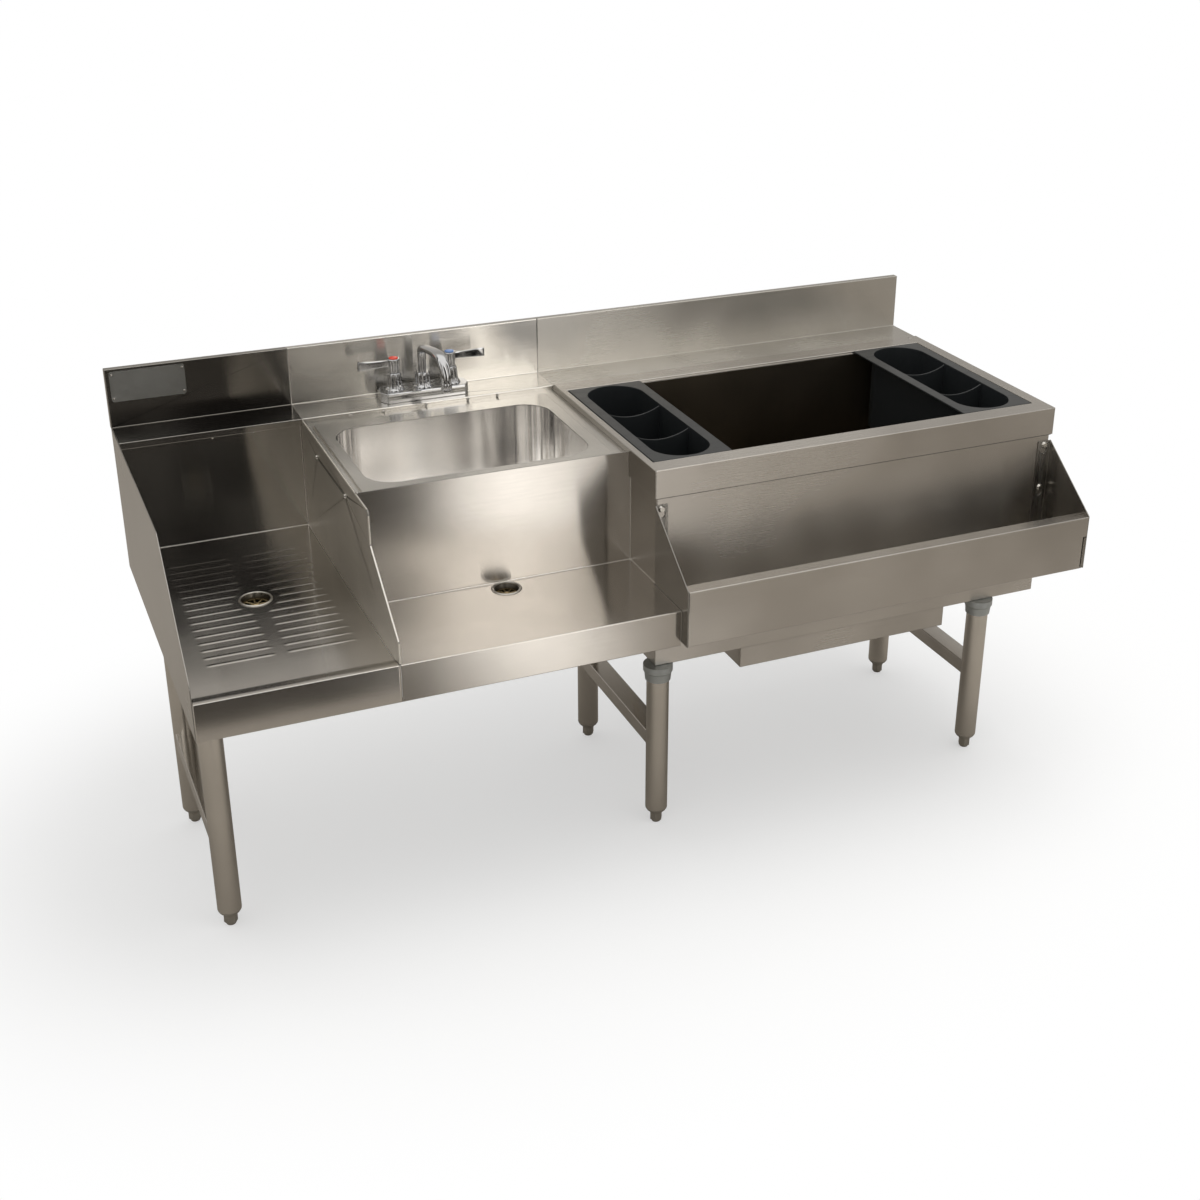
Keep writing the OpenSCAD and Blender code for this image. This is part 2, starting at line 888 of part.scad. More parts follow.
// Trough: folded top edge, face with a doubled upper band, floor and rear lip
module rail_trough() {
    x0 = rail_x0 + sheet;
    x1 = rail_x1 - sheet;
    face = -rail_d + rail_hem;
    color(steel) on_floor()
        difference() {
            along_x(x0, x1) {
                rect(face, face + sheet, rail_bottom, rail_top);
                rect(-rail_d, face + sheet, rail_top - rail_hem_h, rail_top);
                rect(-rail_d, -rail_d + rail_lip, rail_top - sheet, rail_top);
                rect(-rail_d + rail_lip - sheet, -rail_d + rail_lip, rail_top - rail_turn,
                     rail_top);
                rect(face, rail_back - sheet, rail_bottom, rail_bottom + sheet);
                rect(rail_back - 2 * sheet, rail_back - sheet, rail_bottom,
                     rail_bottom + rail_rear_lip);
            }
            block(x1 - rail_cut, x1 + 1, -rail_d - 1, face + sheet + 0.2,
                  rail_bottom - 1, rail_top - rail_hem_h);
        }
}

// Side outline of a rail end
module rail_end_outline() {
    polygon([
        [rail_back, rail_bottom],
        [rail_back, rail_end_top],
        [-rail_d + 3, rail_top + 2],
        [-rail_d + 1, rail_top],
        [-rail_d + 1, rail_bottom]
    ]);
}

// Keyholes cut through a rail flange: the stud hangs in the top of the slot
module keyholes(x) {
    for (z = stud_heights)
        translate([x, rail_back + 2, z])
            rotate([90, 0, 0]) {
                cylinder(h = 6, r = stud_r + 0.3);
                translate([-stud_r - 0.3, -rail_lift, 0])
                    cube([2 * stud_r + 0.6, rail_lift, 6]);
                translate([0, -rail_lift, 0])
                    cylinder(h = 6, r = key_r);
            }
}

// End panel at px with a flange that runs from fx0 to fx1 against the bin
module rail_end(px, fx0, fx1, stud_x) {
    difference() {
        union() {
            along_x(px, px + sheet)
                rail_end_outline();
            block(fx0, fx1, rail_back - sheet, rail_back, rail_bottom + sheet, rail_end_top);
        }
        keyholes(stud_x);
    }
}

stud_x_left = rail_x0 + stud_inset + sheet;
stud_x_right = rail_x1 - stud_inset - 5.5;

module rail_end_left() {
    color(steel) on_floor()
        rail_end(rail_x0, rail_x0, rail_x0 + rail_flange_w, stud_x_left);
}

module rail_end_right() {
    color(steel) on_floor() {
        rail_end(rail_x1 - sheet, rail_x1 - rail_flange_w - 5, rail_x1, stud_x_right);
        block(rail_x1 - rail_tab_w, rail_x1, -rail_d + rail_hem + sheet + rail_gap,
              -rail_d + rail_hem + 2 * sheet + rail_gap, rail_bottom + sheet,
              rail_top - rail_hem_h + rail_tab_lap);
    }
}

// Shouldered studs on the bin that the keyholes hang on
module rail_studs() {
    color(chrome) on_floor()
        for (x = [stud_x_left, stud_x_right])
            for (z = stud_heights)
                translate([x, -shell_front_d, z])
                    rotate([90, 0, 0]) {
                        cylinder(h = 4, r = stud_r);
                        translate([0, 0, rail_gap + sheet + 0.4])
                            cylinder(h = 3.4, r1 = stud_head_r, r2 = 4);
                    }
}

// ---------- legs ----------

module leg(x, d, top) {
    color(steel) on_floor()
        difference() {
            post(x, d, leg_foot, top - socket_plate, leg_d / 2);
            post(x, d, leg_foot - 1, top - socket_plate + 1, leg_d / 2 - leg_wall);
        }
}

left_leg_top = floor_top - sheet - channel_h;

module leg_left_front() { leg(leg_x_left, leg_front, left_leg_top); }
module leg_left_rear() { leg(leg_x_left, leg_rear, left_leg_top); }
module leg_middle_front() { leg(leg_x_middle, leg_front, bin_bottom); }
module leg_middle_rear() { leg(leg_x_middle, leg_rear, bin_bottom); }
module leg_right_front() { leg(leg_x_right, leg_front, bin_bottom); }
module leg_right_rear() { leg(leg_x_right, leg_rear, bin_bottom); }

// Bullet foot: stem in the tube, round shoulder, hexagon and a small tip
module foot(x, d) {
    neck = leg_foot - 0.2;
    stem_radius = leg_d / 2 - leg_wall - foot_fit;
    color(grey_casting) on_floor()
        translate([x, -d, 0]) {
            rotate_extrude()
                polygon([
                    [0, 18],
                    [11, 18],
                    [12.5, neck - 8],
                    [16.5, neck - 5.5],
                    [leg_d / 2 - 0.4, neck - 2],
                    [leg_d / 2 - 0.4, neck],
                    [stem_radius, neck],
                    [stem_radius, neck + foot_stem],
                    [0, neck + foot_stem]
                ]);
            translate([0, 0, foot_hex_z[0]])
                cylinder(h = foot_hex_z[1] - foot_hex_z[0], r = foot_hex_r, $fn = 6);
            cylinder(h = 5, r1 = 7.5, r2 = 9.4);
        }
}

module foot_left_front() { foot(leg_x_left, leg_front); }
module foot_left_rear() { foot(leg_x_left, leg_rear); }
module foot_middle_front() { foot(leg_x_middle, leg_front); }
module foot_middle_rear() { foot(leg_x_middle, leg_rear); }
module foot_right_front() { foot(leg_x_right, leg_front); }
module foot_right_rear() { foot(leg_x_right, leg_rear); }

// Cast socket welded under the bench, round the top of a leg
module leg_socket(x, d, top) {
    bore = leg_d / 2 + 0.05;
    translate([x, -d, top])
        rotate_extrude()
            polygon([
                [0, 0],
                [socket_r, 0],
                [socket_r, -11],
                [bore + 4, -14],
                [bore + 2.5, -socket_h],
                [bore, -socket_h],
                [bore, -socket_plate],
                [0, -socket_plate]
            ]);
}

module leg_sockets() {
    color(grey_casting) on_floor()
        for (d = [leg_front, leg_rear]) {
            leg_socket(leg_x_left, d, left_leg_top);
            leg_socket(leg_x_middle, d, bin_bottom);
            leg_socket(leg_x_right, d, bin_bottom);
        }
}

// Inverted channel between a front and a rear leg, coped to the tubes
module cross_rail(x) {
    color(steel) on_floor()
        difference() {
            block(x - cross_w / 2, x + cross_w / 2, -leg_front, -leg_rear,
                  cross_z, cross_z + cross_h);
            block(x - cross_w / 2 + sheet, x + cross_w / 2 - sheet, -leg_front - 1,
                  -leg_rear + 1, cross_z - 1, cross_z + cross_h - sheet);
            for (d = [leg_front, leg_rear])
                post(x, d, cross_z - 1, cross_z + cross_h + 1, leg_d / 2);
        }
}

module cross_rail_left() { cross_rail(leg_x_left); }
module cross_rail_middle() { cross_rail(leg_x_middle); }
module cross_rail_right() { cross_rail(leg_x_right); }

// ---------- faucet ----------

// Long box with its four corners cut off
module faucet_body_plan() {
    a = body_w / 2;
    b = body_l / 2;
    polygon([
        [-a, -b + body_cut_y],
        [-a + body_cut_x, -b],
        [a - body_cut_x, -b],
        [a, -b + body_cut_y],
        [a, b - body_cut_y],
        [a - body_cut_x, b],
        [-a + body_cut_x, b],
        [-a, b - body_cut_y]
    ]);
}

module faucet_body() {
    color(chrome) on_floor()
        difference() {
            translate([faucet_x, -valve_d, body_z])
                linear_extrude(body_h)
                    faucet_body_plan();
            for (x = valve_x)
                post(x, valve_d, body_z - 1, body_z + 8, shank_r + 0.05);
            post(faucet_x, valve_d, body_z + body_h - spout_socket, body_z + body_h + 1,
                 spout_r + run);
        }
}

// Bell-shaped cover and stem of one valve
module valve_bonnet(x) {
    z = body_z + body_h;
    h = bonnet_top - z;
    translate([x, -valve_d, z]) {
        rotate_extrude()
            polygon([
                [0, 0],
                [17.5, 0],
                [17.3, 1.6],
                [14.8, 4],
                [13.6, 9],
                [12.6, h - 4],
                [10.8, h],
                [0, h]
            ]);
        cylinder(h = h + 12, r = stem_r);
    }
}

module valve_bonnets() {
    color(chrome) on_floor()
        for (x = valve_x)
            valve_bonnet(x);
}

// Bell-shaped nut that holds the spout and lets it turn
module spout_nut() {
    color(chrome) on_floor()
        translate([faucet_x, -valve_d, body_z + body_h])
            rotate_extrude()
                polygon([
                    [spout_r + run, 0],
                    [18, 0],
                    [17.8, 1.6],
                    [14.6, 6],
                    [14, 12],
                    [14, 24],
                    [12, 26],
                    [spout_r + run, 26]
                ]);
}

spout_z = body_z + body_h;
spout_riser_h = 62;
spout_rise = 9;
spout_tip_r = 8.6;
spout_bend = 10;
spout_end_bend = 17;
spout_end_z = 40.2;
aerator_h = 15;
aerator_neck = 7;
// Turn of the first bend, the start of the arm and its length
spout_turn_1 = 90 - spout_rise;
arm_x = spout_bend * (1 - cos(spout_turn_1));
arm_z = spout_riser_h + spout_bend * sin(spout_turn_1);
arm_l = (spout_reach - arm_x - spout_end_bend * (1 + sin(spout_rise))) / cos(spout_rise);
end_bend_x = arm_x + arm_l * cos(spout_rise) + spout_end_bend * sin(spout_rise);
end_bend_z = arm_z + arm_l * sin(spout_rise) - spout_end_bend * cos(spout_rise);

// Bend of a round bar about a centre in the spout's plane, between two angles
module spout_elbow(x, z, bend, r, from, to) {
    translate([x, 0, z])
        rotate([90, 0, 0])
            rotate([0, 0, from])
                rotate_extrude(angle = to - from)
                    translate([bend, 0])
                        circle(r);
}

// Places the spout's own frame: reach along +X, turned forward over the sink
module at_spout() {
    translate([faucet_x, -valve_d, spout_z])
        rotate([0, 0, -90 + spout_turn])
            children();
}

module spout() {
    color(chrome) on_floor()
        at_spout() {
            translate([0, 0, 0.3 - spout_socket])
                cylinder(h = spout_riser_h + spout_socket - 0.3, r = spout_r);
            spout_elbow(spout_bend, spout_riser_h, spout_bend, spout_r,
                        180 - spout_turn_1, 180);
            translate([arm_x, 0, arm_z])
                rotate([0, spout_turn_1, 0])
                    cylinder(h = arm_l, r1 = spout_r, r2 = spout_tip_r);
            spout_elbow(end_bend_x, end_bend_z, spout_end_bend, spout_tip_r,
                        0, 90 + spout_rise);
            translate([spout_reach, 0, spout_end_z])
                cylinder(h = end_bend_z - spout_end_z, r = spout_tip_r);
            translate([spout_reach, 0, spout_end_z - aerator_neck + 0.4])
                cylinder(h = aerator_neck, r = spout_tip_r - 1.4);
        }
}

module aerator() {
    color(chrome) on_floor()
        at_spout()
            translate([spout_reach, 0, spout_end_z - aerator_h])
                difference() {
                    cylinder(h = aerator_h, r = 9.3);
                    translate([0, 0, -1])
                        cylinder(h = 5, r = 6.5);
                    translate([0, 0, aerator_h - aerator_neck])
                        cylinder(h = aerator_neck + 1, r = spout_tip_r - 1.35);
                }
}

// Hub and flat blade of a lever, pointing along +X from its valve axis
module lever() {
    difference() {
        union() {
            rotate_extrude()
                polygon([
                    [0, 0.3],
                    [9, 0.3],
                    [9.6, 3],
                    [11, hub_h - 5],
                    [11.2, hub_h - 1],
                    [10.2, hub_h],
                    [0, hub_h]
                ]);
            translate([0, 4, 0])
                rotate([90, 0, 0])
                    linear_extrude(8)
                        polygon([
                            [5, hub_h - 14.5],
                            [18, hub_h - 13],
                            [lever_l - 1, hub_h - 16],
                            [lever_l, hub_h - 15],
                            [lever_l, hub_h - 1],
                            [lever_l - 1, hub_h],
                            [18, hub_h - 2.5],
                            [5, hub_h - 2]
                        ]);
        }
        cylinder(h = 13, r = stem_r + run);
    }
}

module hot_lever() {
    color(chrome) on_floor()
        translate([valve_x[0], -valve_d, bonnet_top])
            rotate([0, 0, 180])
                lever();
}

module cold_lever() {
    color(chrome) on_floor()
        translate([valve_x[1], -valve_d, bonnet_top])
            lever();
}

module index_button(x) {
    translate([x, -valve_d, bonnet_top + hub_h])
        cylinder(h = 1.8, r1 = 8.2, r2 = 7.4);
}

module hot_index() {
    color("#d8432f") on_floor()
        index_button(valve_x[0]);
}

module cold_index() {
    color("#5b86c9") on_floor()
        index_button(valve_x[1]);
}

// Threaded shanks that pass through the ledge to the supply lines
module supply_shanks() {
    color(brass) on_floor()
        for (x = valve_x)
            difference() {
                union() {
                    post(x, valve_d, shank_bottom, shank_bottom + shank_tail_l, shank_tail_r);
                    post(x, valve_d, shank_bottom + shank_tail_l, body_z + 8, shank_r);
                }
                post(x, valve_d, shank_bottom - 1, body_z + 9, shank_bore_r);
            }
}

module shank_nuts() {
    z1 = ledge_top - sheet;
    color(brass) on_floor()
        for (x = valve_x)
            difference() {
                union() {
                    post(x, valve_d, z1 - 2, z1, shank_washer_r);
                    translate([x, -valve_d, z1 - 10])
                        cylinder(h = 8, r = shank_nut_r, $fn = 6);
                }
                post(x, valve_d, z1 - 11, z1 + 1, shank_r + 0.05);
            }
}

// ---------- blank plate on the backsplash ----------

plate_x = [7, 130];
plate_z = [705, 758];

module data_plate() {
    color("#8f8f8c") on_floor()
        rotate([90, 0, 0])
            linear_extrude(0.8)
                round_rect(plate_x[0], plate_x[1], plate_z[0], plate_z[1], 5);
}

splash_left();
splash_middle();
splash_right();
left_end_panel();
drainboard();
drainboard_channel();
left_divider();
divider_screws();
sink_deck();
sink_bowl();
sink_apron();
sink_shelf();
drainboard_drain();
shelf_drain();
sink_drain();
bin_drain();
drain_gaskets();
drain_locknuts();
bin_rim();
bin_liner();
bin_insulation();
bin_shell();
cold_plate();
cold_plate_housing();
bottle_well_left();
bottle_well_right();
rail_trough();
rail_end_left();
rail_end_right();
rail_studs();
leg_left_front();
leg_left_rear();
leg_middle_front();
leg_middle_rear();
leg_right_front();
leg_right_rear();
foot_left_front();
foot_left_rear();
foot_middle_front();
foot_middle_rear();
foot_right_front();
foot_right_rear();
leg_sockets();
cross_rail_left();
cross_rail_middle();
cross_rail_right();
faucet_body();
valve_bonnets();
spout_nut();
spout();
aerator();
hot_lever();
cold_lever();
hot_index();
cold_index();
supply_shanks();
shank_nuts();
data_plate();
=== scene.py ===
import json
import math

import bmesh
import bpy
from mathutils import Matrix, Vector


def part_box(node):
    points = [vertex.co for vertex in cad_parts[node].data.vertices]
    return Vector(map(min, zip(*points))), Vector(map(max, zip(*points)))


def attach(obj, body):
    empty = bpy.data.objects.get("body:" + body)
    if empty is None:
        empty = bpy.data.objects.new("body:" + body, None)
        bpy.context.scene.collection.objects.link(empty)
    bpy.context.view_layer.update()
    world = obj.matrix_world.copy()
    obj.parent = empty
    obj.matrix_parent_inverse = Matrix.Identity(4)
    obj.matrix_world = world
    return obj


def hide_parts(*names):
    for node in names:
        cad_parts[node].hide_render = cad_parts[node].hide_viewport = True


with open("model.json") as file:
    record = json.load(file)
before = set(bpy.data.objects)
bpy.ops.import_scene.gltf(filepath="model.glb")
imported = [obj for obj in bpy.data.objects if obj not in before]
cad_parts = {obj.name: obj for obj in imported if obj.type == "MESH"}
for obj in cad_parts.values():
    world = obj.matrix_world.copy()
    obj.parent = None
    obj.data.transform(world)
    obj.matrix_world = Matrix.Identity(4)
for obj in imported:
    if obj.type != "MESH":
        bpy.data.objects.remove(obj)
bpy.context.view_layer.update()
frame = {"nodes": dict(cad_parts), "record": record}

MM = 0.001
nodes = frame["nodes"]

# ---------------------------------------------------------------- places in the frame
left_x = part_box("left_end_panel")[0][0]
plate_low, plate_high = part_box("data_plate")
wall_y = plate_high[1]
FLOOR_Z = 0.0


def at(x, depth, z):
    """A point from millimetres along the bench, depth in front of the backsplash, height."""
    return Vector((left_x + x * MM, wall_y - depth * MM, z * MM))


# ---------------------------------------------------------------- node material helpers
class Graph:
    """Short calls for building one material's nodes."""

    def __init__(self, tree):
        self.tree = tree
        tree.nodes.clear()

    def add(self, kind, inputs=None, **settings):
        node = self.tree.nodes.new(kind)
        for key, value in settings.items():
            setattr(node, key, value)
        for key, value in (inputs or {}).items():
            self.feed(node.inputs[key], value)
        return node

    def feed(self, socket, value):
        if isinstance(value, bpy.types.NodeSocket):
            self.tree.links.new(value, socket)
        elif isinstance(value, bpy.types.Node):
            self.tree.links.new(value.outputs[0], socket)
        elif hasattr(socket.default_value, "__len__") and len(socket.default_value) == 4:
            socket.default_value = (*value, 1.0) if len(value) == 3 else value
        else:
            socket.default_value = value

    def math(self, operation, a, b=0.0, c=0.0):
        return self.add("ShaderNodeMath", {0: a, 1: b, 2: c}, operation=operation).outputs[0]

    def spread(self, value, low, high, out_low=0.0, out_high=1.0, soft=True):
        kind = "SMOOTHSTEP" if soft else "LINEAR"
        node = self.add("ShaderNodeMapRange", {"Value": value, "From Min": low, "From Max": high,
                                               "To Min": out_low, "To Max": out_high},
                        interpolation_type=kind)
        return node.outputs[0]

    def mix(self, factor, a, b, blend="MIX"):
        node = self.add("ShaderNodeMix", data_type="RGBA", blend_type=blend)
        self.feed(node.inputs["Factor"], factor)
        self.feed(node.inputs[6], a)
        self.feed(node.inputs[7], b)
        return node.outputs[2]

    def ramp(self, value, stops):
        node = self.add("ShaderNodeValToRGB", {"Fac": value})
        elements = node.color_ramp.elements
        while len(elements) < len(stops):
            elements.new(0.5)
        for element, (place, level) in zip(elements, stops):
            element.position = place
            element.color = (level, level, level, 1) if isinstance(level, float) else (*level, 1)
        return node.outputs[0]

    def noise(self, scale, stretch=(1, 1, 1), detail=2.0, roughness=0.5, offset=0.0):
        place = self.add("ShaderNodeTexCoord").outputs["Object"]
        mapped = self.add("ShaderNodeMapping", {"Vector": place, "Scale": stretch,
                                                "Location": (offset, offset, offset)})
        return self.add("ShaderNodeTexNoise", {"Vector": mapped, "Scale": scale, "Detail": detail,
                                               "Roughness": roughness}).outputs["Fac"]


def new_material(name):
    material = bpy.data.materials.new(name)
    material.use_nodes = True
    return material, Graph(material.node_tree)


def close(graph, shader):
    graph.add("ShaderNodeOutputMaterial", {"Surface": shader.outputs[0]})


GRAIN = {"x": (0.6, 45, 45), "y": (45, 0.6, 45), "z": (45, 45, 0.6)}


def steel(name, color, grain="x", roughness=0.17, stretch=0.85, cloud=0.10, bump=0.004):
    """Brushed sheet steel: fine lines along the grain, soft clouds, uneven polish."""
    material, g = new_material(name)
    lines = g.noise(9.0, GRAIN[grain], detail=3.0, roughness=0.6)
    fine = g.noise(34.0, GRAIN[grain], detail=2.0, roughness=0.5, offset=3.1)
    clouds = g.noise(3.2, detail=2.0, roughness=0.55, offset=1.7)
    grime = g.noise(14.0, detail=4.0, roughness=0.65, offset=5.3)
    shade = g.math("MULTIPLY_ADD", lines, 0.08, 0.96)
    shade = g.math("MULTIPLY", shade, g.spread(clouds, 0.3, 0.7, 1 - cloud, 1 + cloud))
    shade = g.math("MULTIPLY", shade, g.spread(grime, 0.35, 0.7, 0.98, 1.02))
    tint = g.add("ShaderNodeCombineXYZ", {0: shade, 1: shade, 2: shade})
    base = g.mix(1.0, color, tint.outputs[0], "MULTIPLY")
    rough = g.math("ADD", g.spread(clouds, 0.25, 0.75, roughness - 0.05, roughness + 0.05),
                   g.spread(fine, 0.3, 0.7, -0.012, 0.012))
    height = g.math("ADD", g.math("MULTIPLY", lines, 0.6), g.math("MULTIPLY", fine, 0.4))
    relief = g.add("ShaderNodeBump", {"Height": height, "Strength": bump, "Distance": 0.0004})
    # the grain's direction: across the surface normal and a tilted upright
    normal = g.add("ShaderNodeNewGeometry").outputs["Normal"]
    across = {"x": (0, 0.35, 1), "y": (0.35, 0, 1), "z": (1, 0.35, 0)}[grain]
    tangent = g.add("ShaderNodeVectorMath", {0: normal, 1: across}, operation="CROSS_PRODUCT")
    shader = g.add("ShaderNodeBsdfPrincipled", {
        "Base Color": base, "Metallic": 1.0, "Roughness": rough, "Normal": relief,
        "Anisotropic": stretch, "Anisotropic Rotation": 0.25, "Tangent": tangent.outputs[0]})
    close(g, shader)
    return material


def chrome_metal(name, color=(0.80, 0.80, 0.80), roughness=0.06):
    """Polished plating with faint water marks."""
    material, g = new_material(name)
    marks = g.noise(60.0, detail=4.0, roughness=0.6)
    rough = g.spread(marks, 0.4, 0.75, roughness, roughness + 0.05)
    shade = g.spread(marks, 0.3, 0.8, 1.0, 0.96)
    tint = g.add("ShaderNodeCombineXYZ", {0: shade, 1: shade, 2: shade})
    base = g.mix(1.0, color, tint.outputs[0], "MULTIPLY")
    shader = g.add("ShaderNodeBsdfPrincipled", {"Base Color": base, "Metallic": 1.0,
                                                "Roughness": rough})
    close(g, shader)
    return material


def dull_metal(name, color, roughness=0.5, speckle=120.0, depth=0.12):
    """Cast or plated metal with a fine uneven skin."""
    material, g = new_material(name)
    skin = g.noise(speckle, detail=3.0, roughness=0.6)
    broad = g.noise(12.0, detail=2.0, offset=2.0)
    base = g.mix(g.spread(broad, 0.3, 0.7, 0.0, 0.35), color, [c * 0.75 for c in color])
    rough = g.spread(skin, 0.3, 0.7, roughness - 0.07, roughness + 0.09)
    relief = g.add("ShaderNodeBump", {"Height": skin, "Strength": depth, "Distance": 0.0005})
    shader = g.add("ShaderNodeBsdfPrincipled", {"Base Color": base, "Metallic": 1.0,
                                                "Roughness": rough, "Normal": relief})
    close(g, shader)
    return material


def plastic(name, color, roughness=0.35, grain=0.05, speckle=220.0, coat=0.0):
    """Moulded plastic or rubber with a fine texture and slight scuffs."""
    material, g = new_material(name)
    skin = g.noise(speckle, detail=2.0)
    scuff = g.noise(18.0, (1, 3, 1), detail=4.0, roughness=0.7, offset=4.0)
    rough = g.spread(scuff, 0.45, 0.75, roughness, roughness + 0.12)
    base = g.mix(g.spread(scuff, 0.5, 0.8, 0.0, 0.25), color, [c * 1.5 + 0.004 for c in color])
    relief = g.add("ShaderNodeBump", {"Height": skin, "Strength": grain, "Distance": 0.0003})
    shader = g.add("ShaderNodeBsdfPrincipled", {"Base Color": base, "Roughness": rough,
                                                "Normal": relief, "Coat Weight": coat})
    close(g, shader)
    return material


PLAIN = (0.575, 0.55, 0.515)
STEEL_MAIN = steel("steel_main", PLAIN, roughness=0.23, stretch=0.98)
# a darker copy of the sheet steel: painted shade on the front of the left splash
STEEL_LEFT_PAINTED_SHADE = steel("steel_left_painted_shade", (0.33, 0.315, 0.29), roughness=0.15, stretch=1.0)
# a lighter copy of the sheet steel: painted sheen on the middle splash and the sink deck
STEEL_MIDDLE_PAINTED_SHEEN = steel("steel_middle_painted_sheen", (0.68, 0.66, 0.62), roughness=0.20, stretch=1.0)
# a far lighter copy of the sheet steel: painted sheen on the divider
STEEL_DIVIDER_PAINTED_SHEEN = steel("steel_divider_painted_sheen", (0.92, 0.89, 0.83), grain="y", roughness=0.34)
STEEL_SPLASH = steel("steel_splash", (0.585, 0.565, 0.525), roughness=0.26, stretch=1.0)
STEEL_DRAIN = steel("steel_drain", (0.62, 0.595, 0.56), roughness=0.15)
STEEL_BEAD = steel("steel_bead", (0.62, 0.60, 0.57), roughness=0.22, stretch=0.2)
# a darker copy of the sheet steel: painted shade on the left end panel
STEEL_SIDE_PAINTED_SHADE = steel("steel_side_painted_shade", (0.50, 0.48, 0.45), grain="y", roughness=0.24)
# a dark copy of the sheet steel: painted shade on the rail ends and the lap at the rail's end
STEEL_END_PAINTED_SHADE = steel("steel_end_painted_shade", (0.36, 0.345, 0.32), grain="z", roughness=0.26, stretch=0.6)
STEEL_CUT = steel("steel_cut_edge", (0.34, 0.33, 0.31), roughness=0.42, stretch=0.2)
STEEL_SINK = steel("steel_sink", (0.56, 0.535, 0.50), roughness=0.17, stretch=0.97)
# a much lighter copy of the sheet steel: painted light in the sink bowl
STEEL_BOWL_PAINTED_LIGHT = steel("steel_bowl_painted_light", (0.95, 0.935, 0.915), roughness=0.17, stretch=0.8)
# darker and browner than the plain steel: painted shade inside the bin
STEEL_LINER_PAINTED_SHADE = steel("steel_liner_painted_shade", (0.24, 0.205, 0.155), grain="z", roughness=0.36, stretch=0.2)
STEEL_LEG = steel("steel_leg", (0.66, 0.63, 0.585), grain="z", roughness=0.22, stretch=0.5)
STEEL_SMALL = chrome_metal("steel_small", (0.66, 0.64, 0.60), 0.18)
STEEL_RING = chrome_metal("steel_ring", (0.58, 0.56, 0.52), 0.30)
CHROME = chrome_metal("chrome", (0.55, 0.555, 0.565), 0.025)
CASTING = dull_metal("casting", (0.53, 0.565, 0.575), roughness=0.46)
FOOT = dull_metal("foot_metal", (0.48, 0.46, 0.42), roughness=0.36)
# dark metal for the drain bodies: painted shade down inside the drains
DRAIN_CUP_PAINTED_SHADE = dull_metal("drain_cup_painted_shade", (0.13, 0.12, 0.10), roughness=0.32)
# near-black strip under the fascia band: painted shadow of the band on the bin shell
PAINTED_SHADOW = plastic("painted_shadow_strip", (0.045, 0.042, 0.038), roughness=0.5)
STRAINER = dull_metal("strainer_brass", (0.46, 0.36, 0.20), roughness=0.28)
BRASS = dull_metal("brass", (0.50, 0.38, 0.18), roughness=0.35)
PLATE = dull_metal("cold_plate_metal", (0.55, 0.56, 0.57), roughness=0.5)
BLACK = plastic("black_plastic", (0.017, 0.019, 0.020), roughness=0.30)
RUBBER = plastic("rubber", (0.02, 0.02, 0.02), roughness=0.6, grain=0.15)
FOAM = plastic("foam", (0.72, 0.60, 0.36), roughness=0.9, grain=0.6, speckle=90.0)
RED = plastic("red_button", (0.55, 0.04, 0.02), roughness=0.2)
BLUE = plastic("blue_button", (0.09, 0.17, 0.36), roughness=0.2)
LABEL = dull_metal("label_plate", (0.33, 0.335, 0.325), roughness=0.38, depth=0.03)

LEGS = [f"{side}_{end}" for side in ("left", "middle", "right") for end in ("front", "rear")]
FINISH = {
    STEEL_LEFT_PAINTED_SHADE: ["splash_left"],
    STEEL_MIDDLE_PAINTED_SHEEN: ["splash_middle", "sink_deck"],
    STEEL_SPLASH: ["splash_right"],
    STEEL_END_PAINTED_SHADE: ["rail_end_left", "rail_end_right"],
    STEEL_DIVIDER_PAINTED_SHEEN: ["left_divider"],
    STEEL_MAIN: ["bin_rim", "bin_shell", "cold_plate_housing", "rail_trough",
                 "cross_rail_left", "cross_rail_middle", "cross_rail_right",
                 "drainboard_channel"],
    STEEL_DRAIN: ["drainboard"],
    STEEL_SIDE_PAINTED_SHADE: ["left_end_panel"],
    STEEL_SINK: ["sink_apron", "sink_shelf"],
    STEEL_BOWL_PAINTED_LIGHT: ["sink_bowl"],
    STEEL_LINER_PAINTED_SHADE: ["bin_liner"],
    STEEL_LEG: ["leg_" + leg for leg in LEGS],
    STEEL_SMALL: ["divider_screws", "rail_studs"],
    STEEL_RING: ["drainboard_drain", "shelf_drain", "sink_drain", "bin_drain"],
    CHROME: ["faucet_body", "valve_bonnets", "spout_nut", "spout", "aerator", "hot_lever",
             "cold_lever"],
    CASTING: ["leg_sockets"],
    FOOT: ["foot_" + leg for leg in LEGS],
    BRASS: ["drain_locknuts", "supply_shanks", "shank_nuts"],
    PLATE: ["cold_plate"],
    BLACK: ["bottle_well_left", "bottle_well_right"],
    RUBBER: ["drain_gaskets"],
    FOAM: ["bin_insulation"],
    RED: ["hot_index"],
    BLUE: ["cold_index"],
    LABEL: ["data_plate"],
}
body_of = {n: b for b, members in frame["record"]["behaviour"]["bodies"].items() for n in members}
for material, members in FINISH.items():
    for member in members:
        nodes[member].data.materials.clear()
        nodes[member].data.materials.append(material)


# ---------------------------------------------------------------- softened copies
def link(name, data):
    piece = bpy.data.objects.new(name, data)
    bpy.context.scene.collection.objects.link(piece)
    return piece


def dress(piece, node):
    """Lets a piece stand for a node: it moves with its body and has its material."""
    if not piece.data.materials:
        piece.data.materials.append(nodes[node].data.materials[0])
    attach(piece, body_of[node])
    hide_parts(node)
    return piece


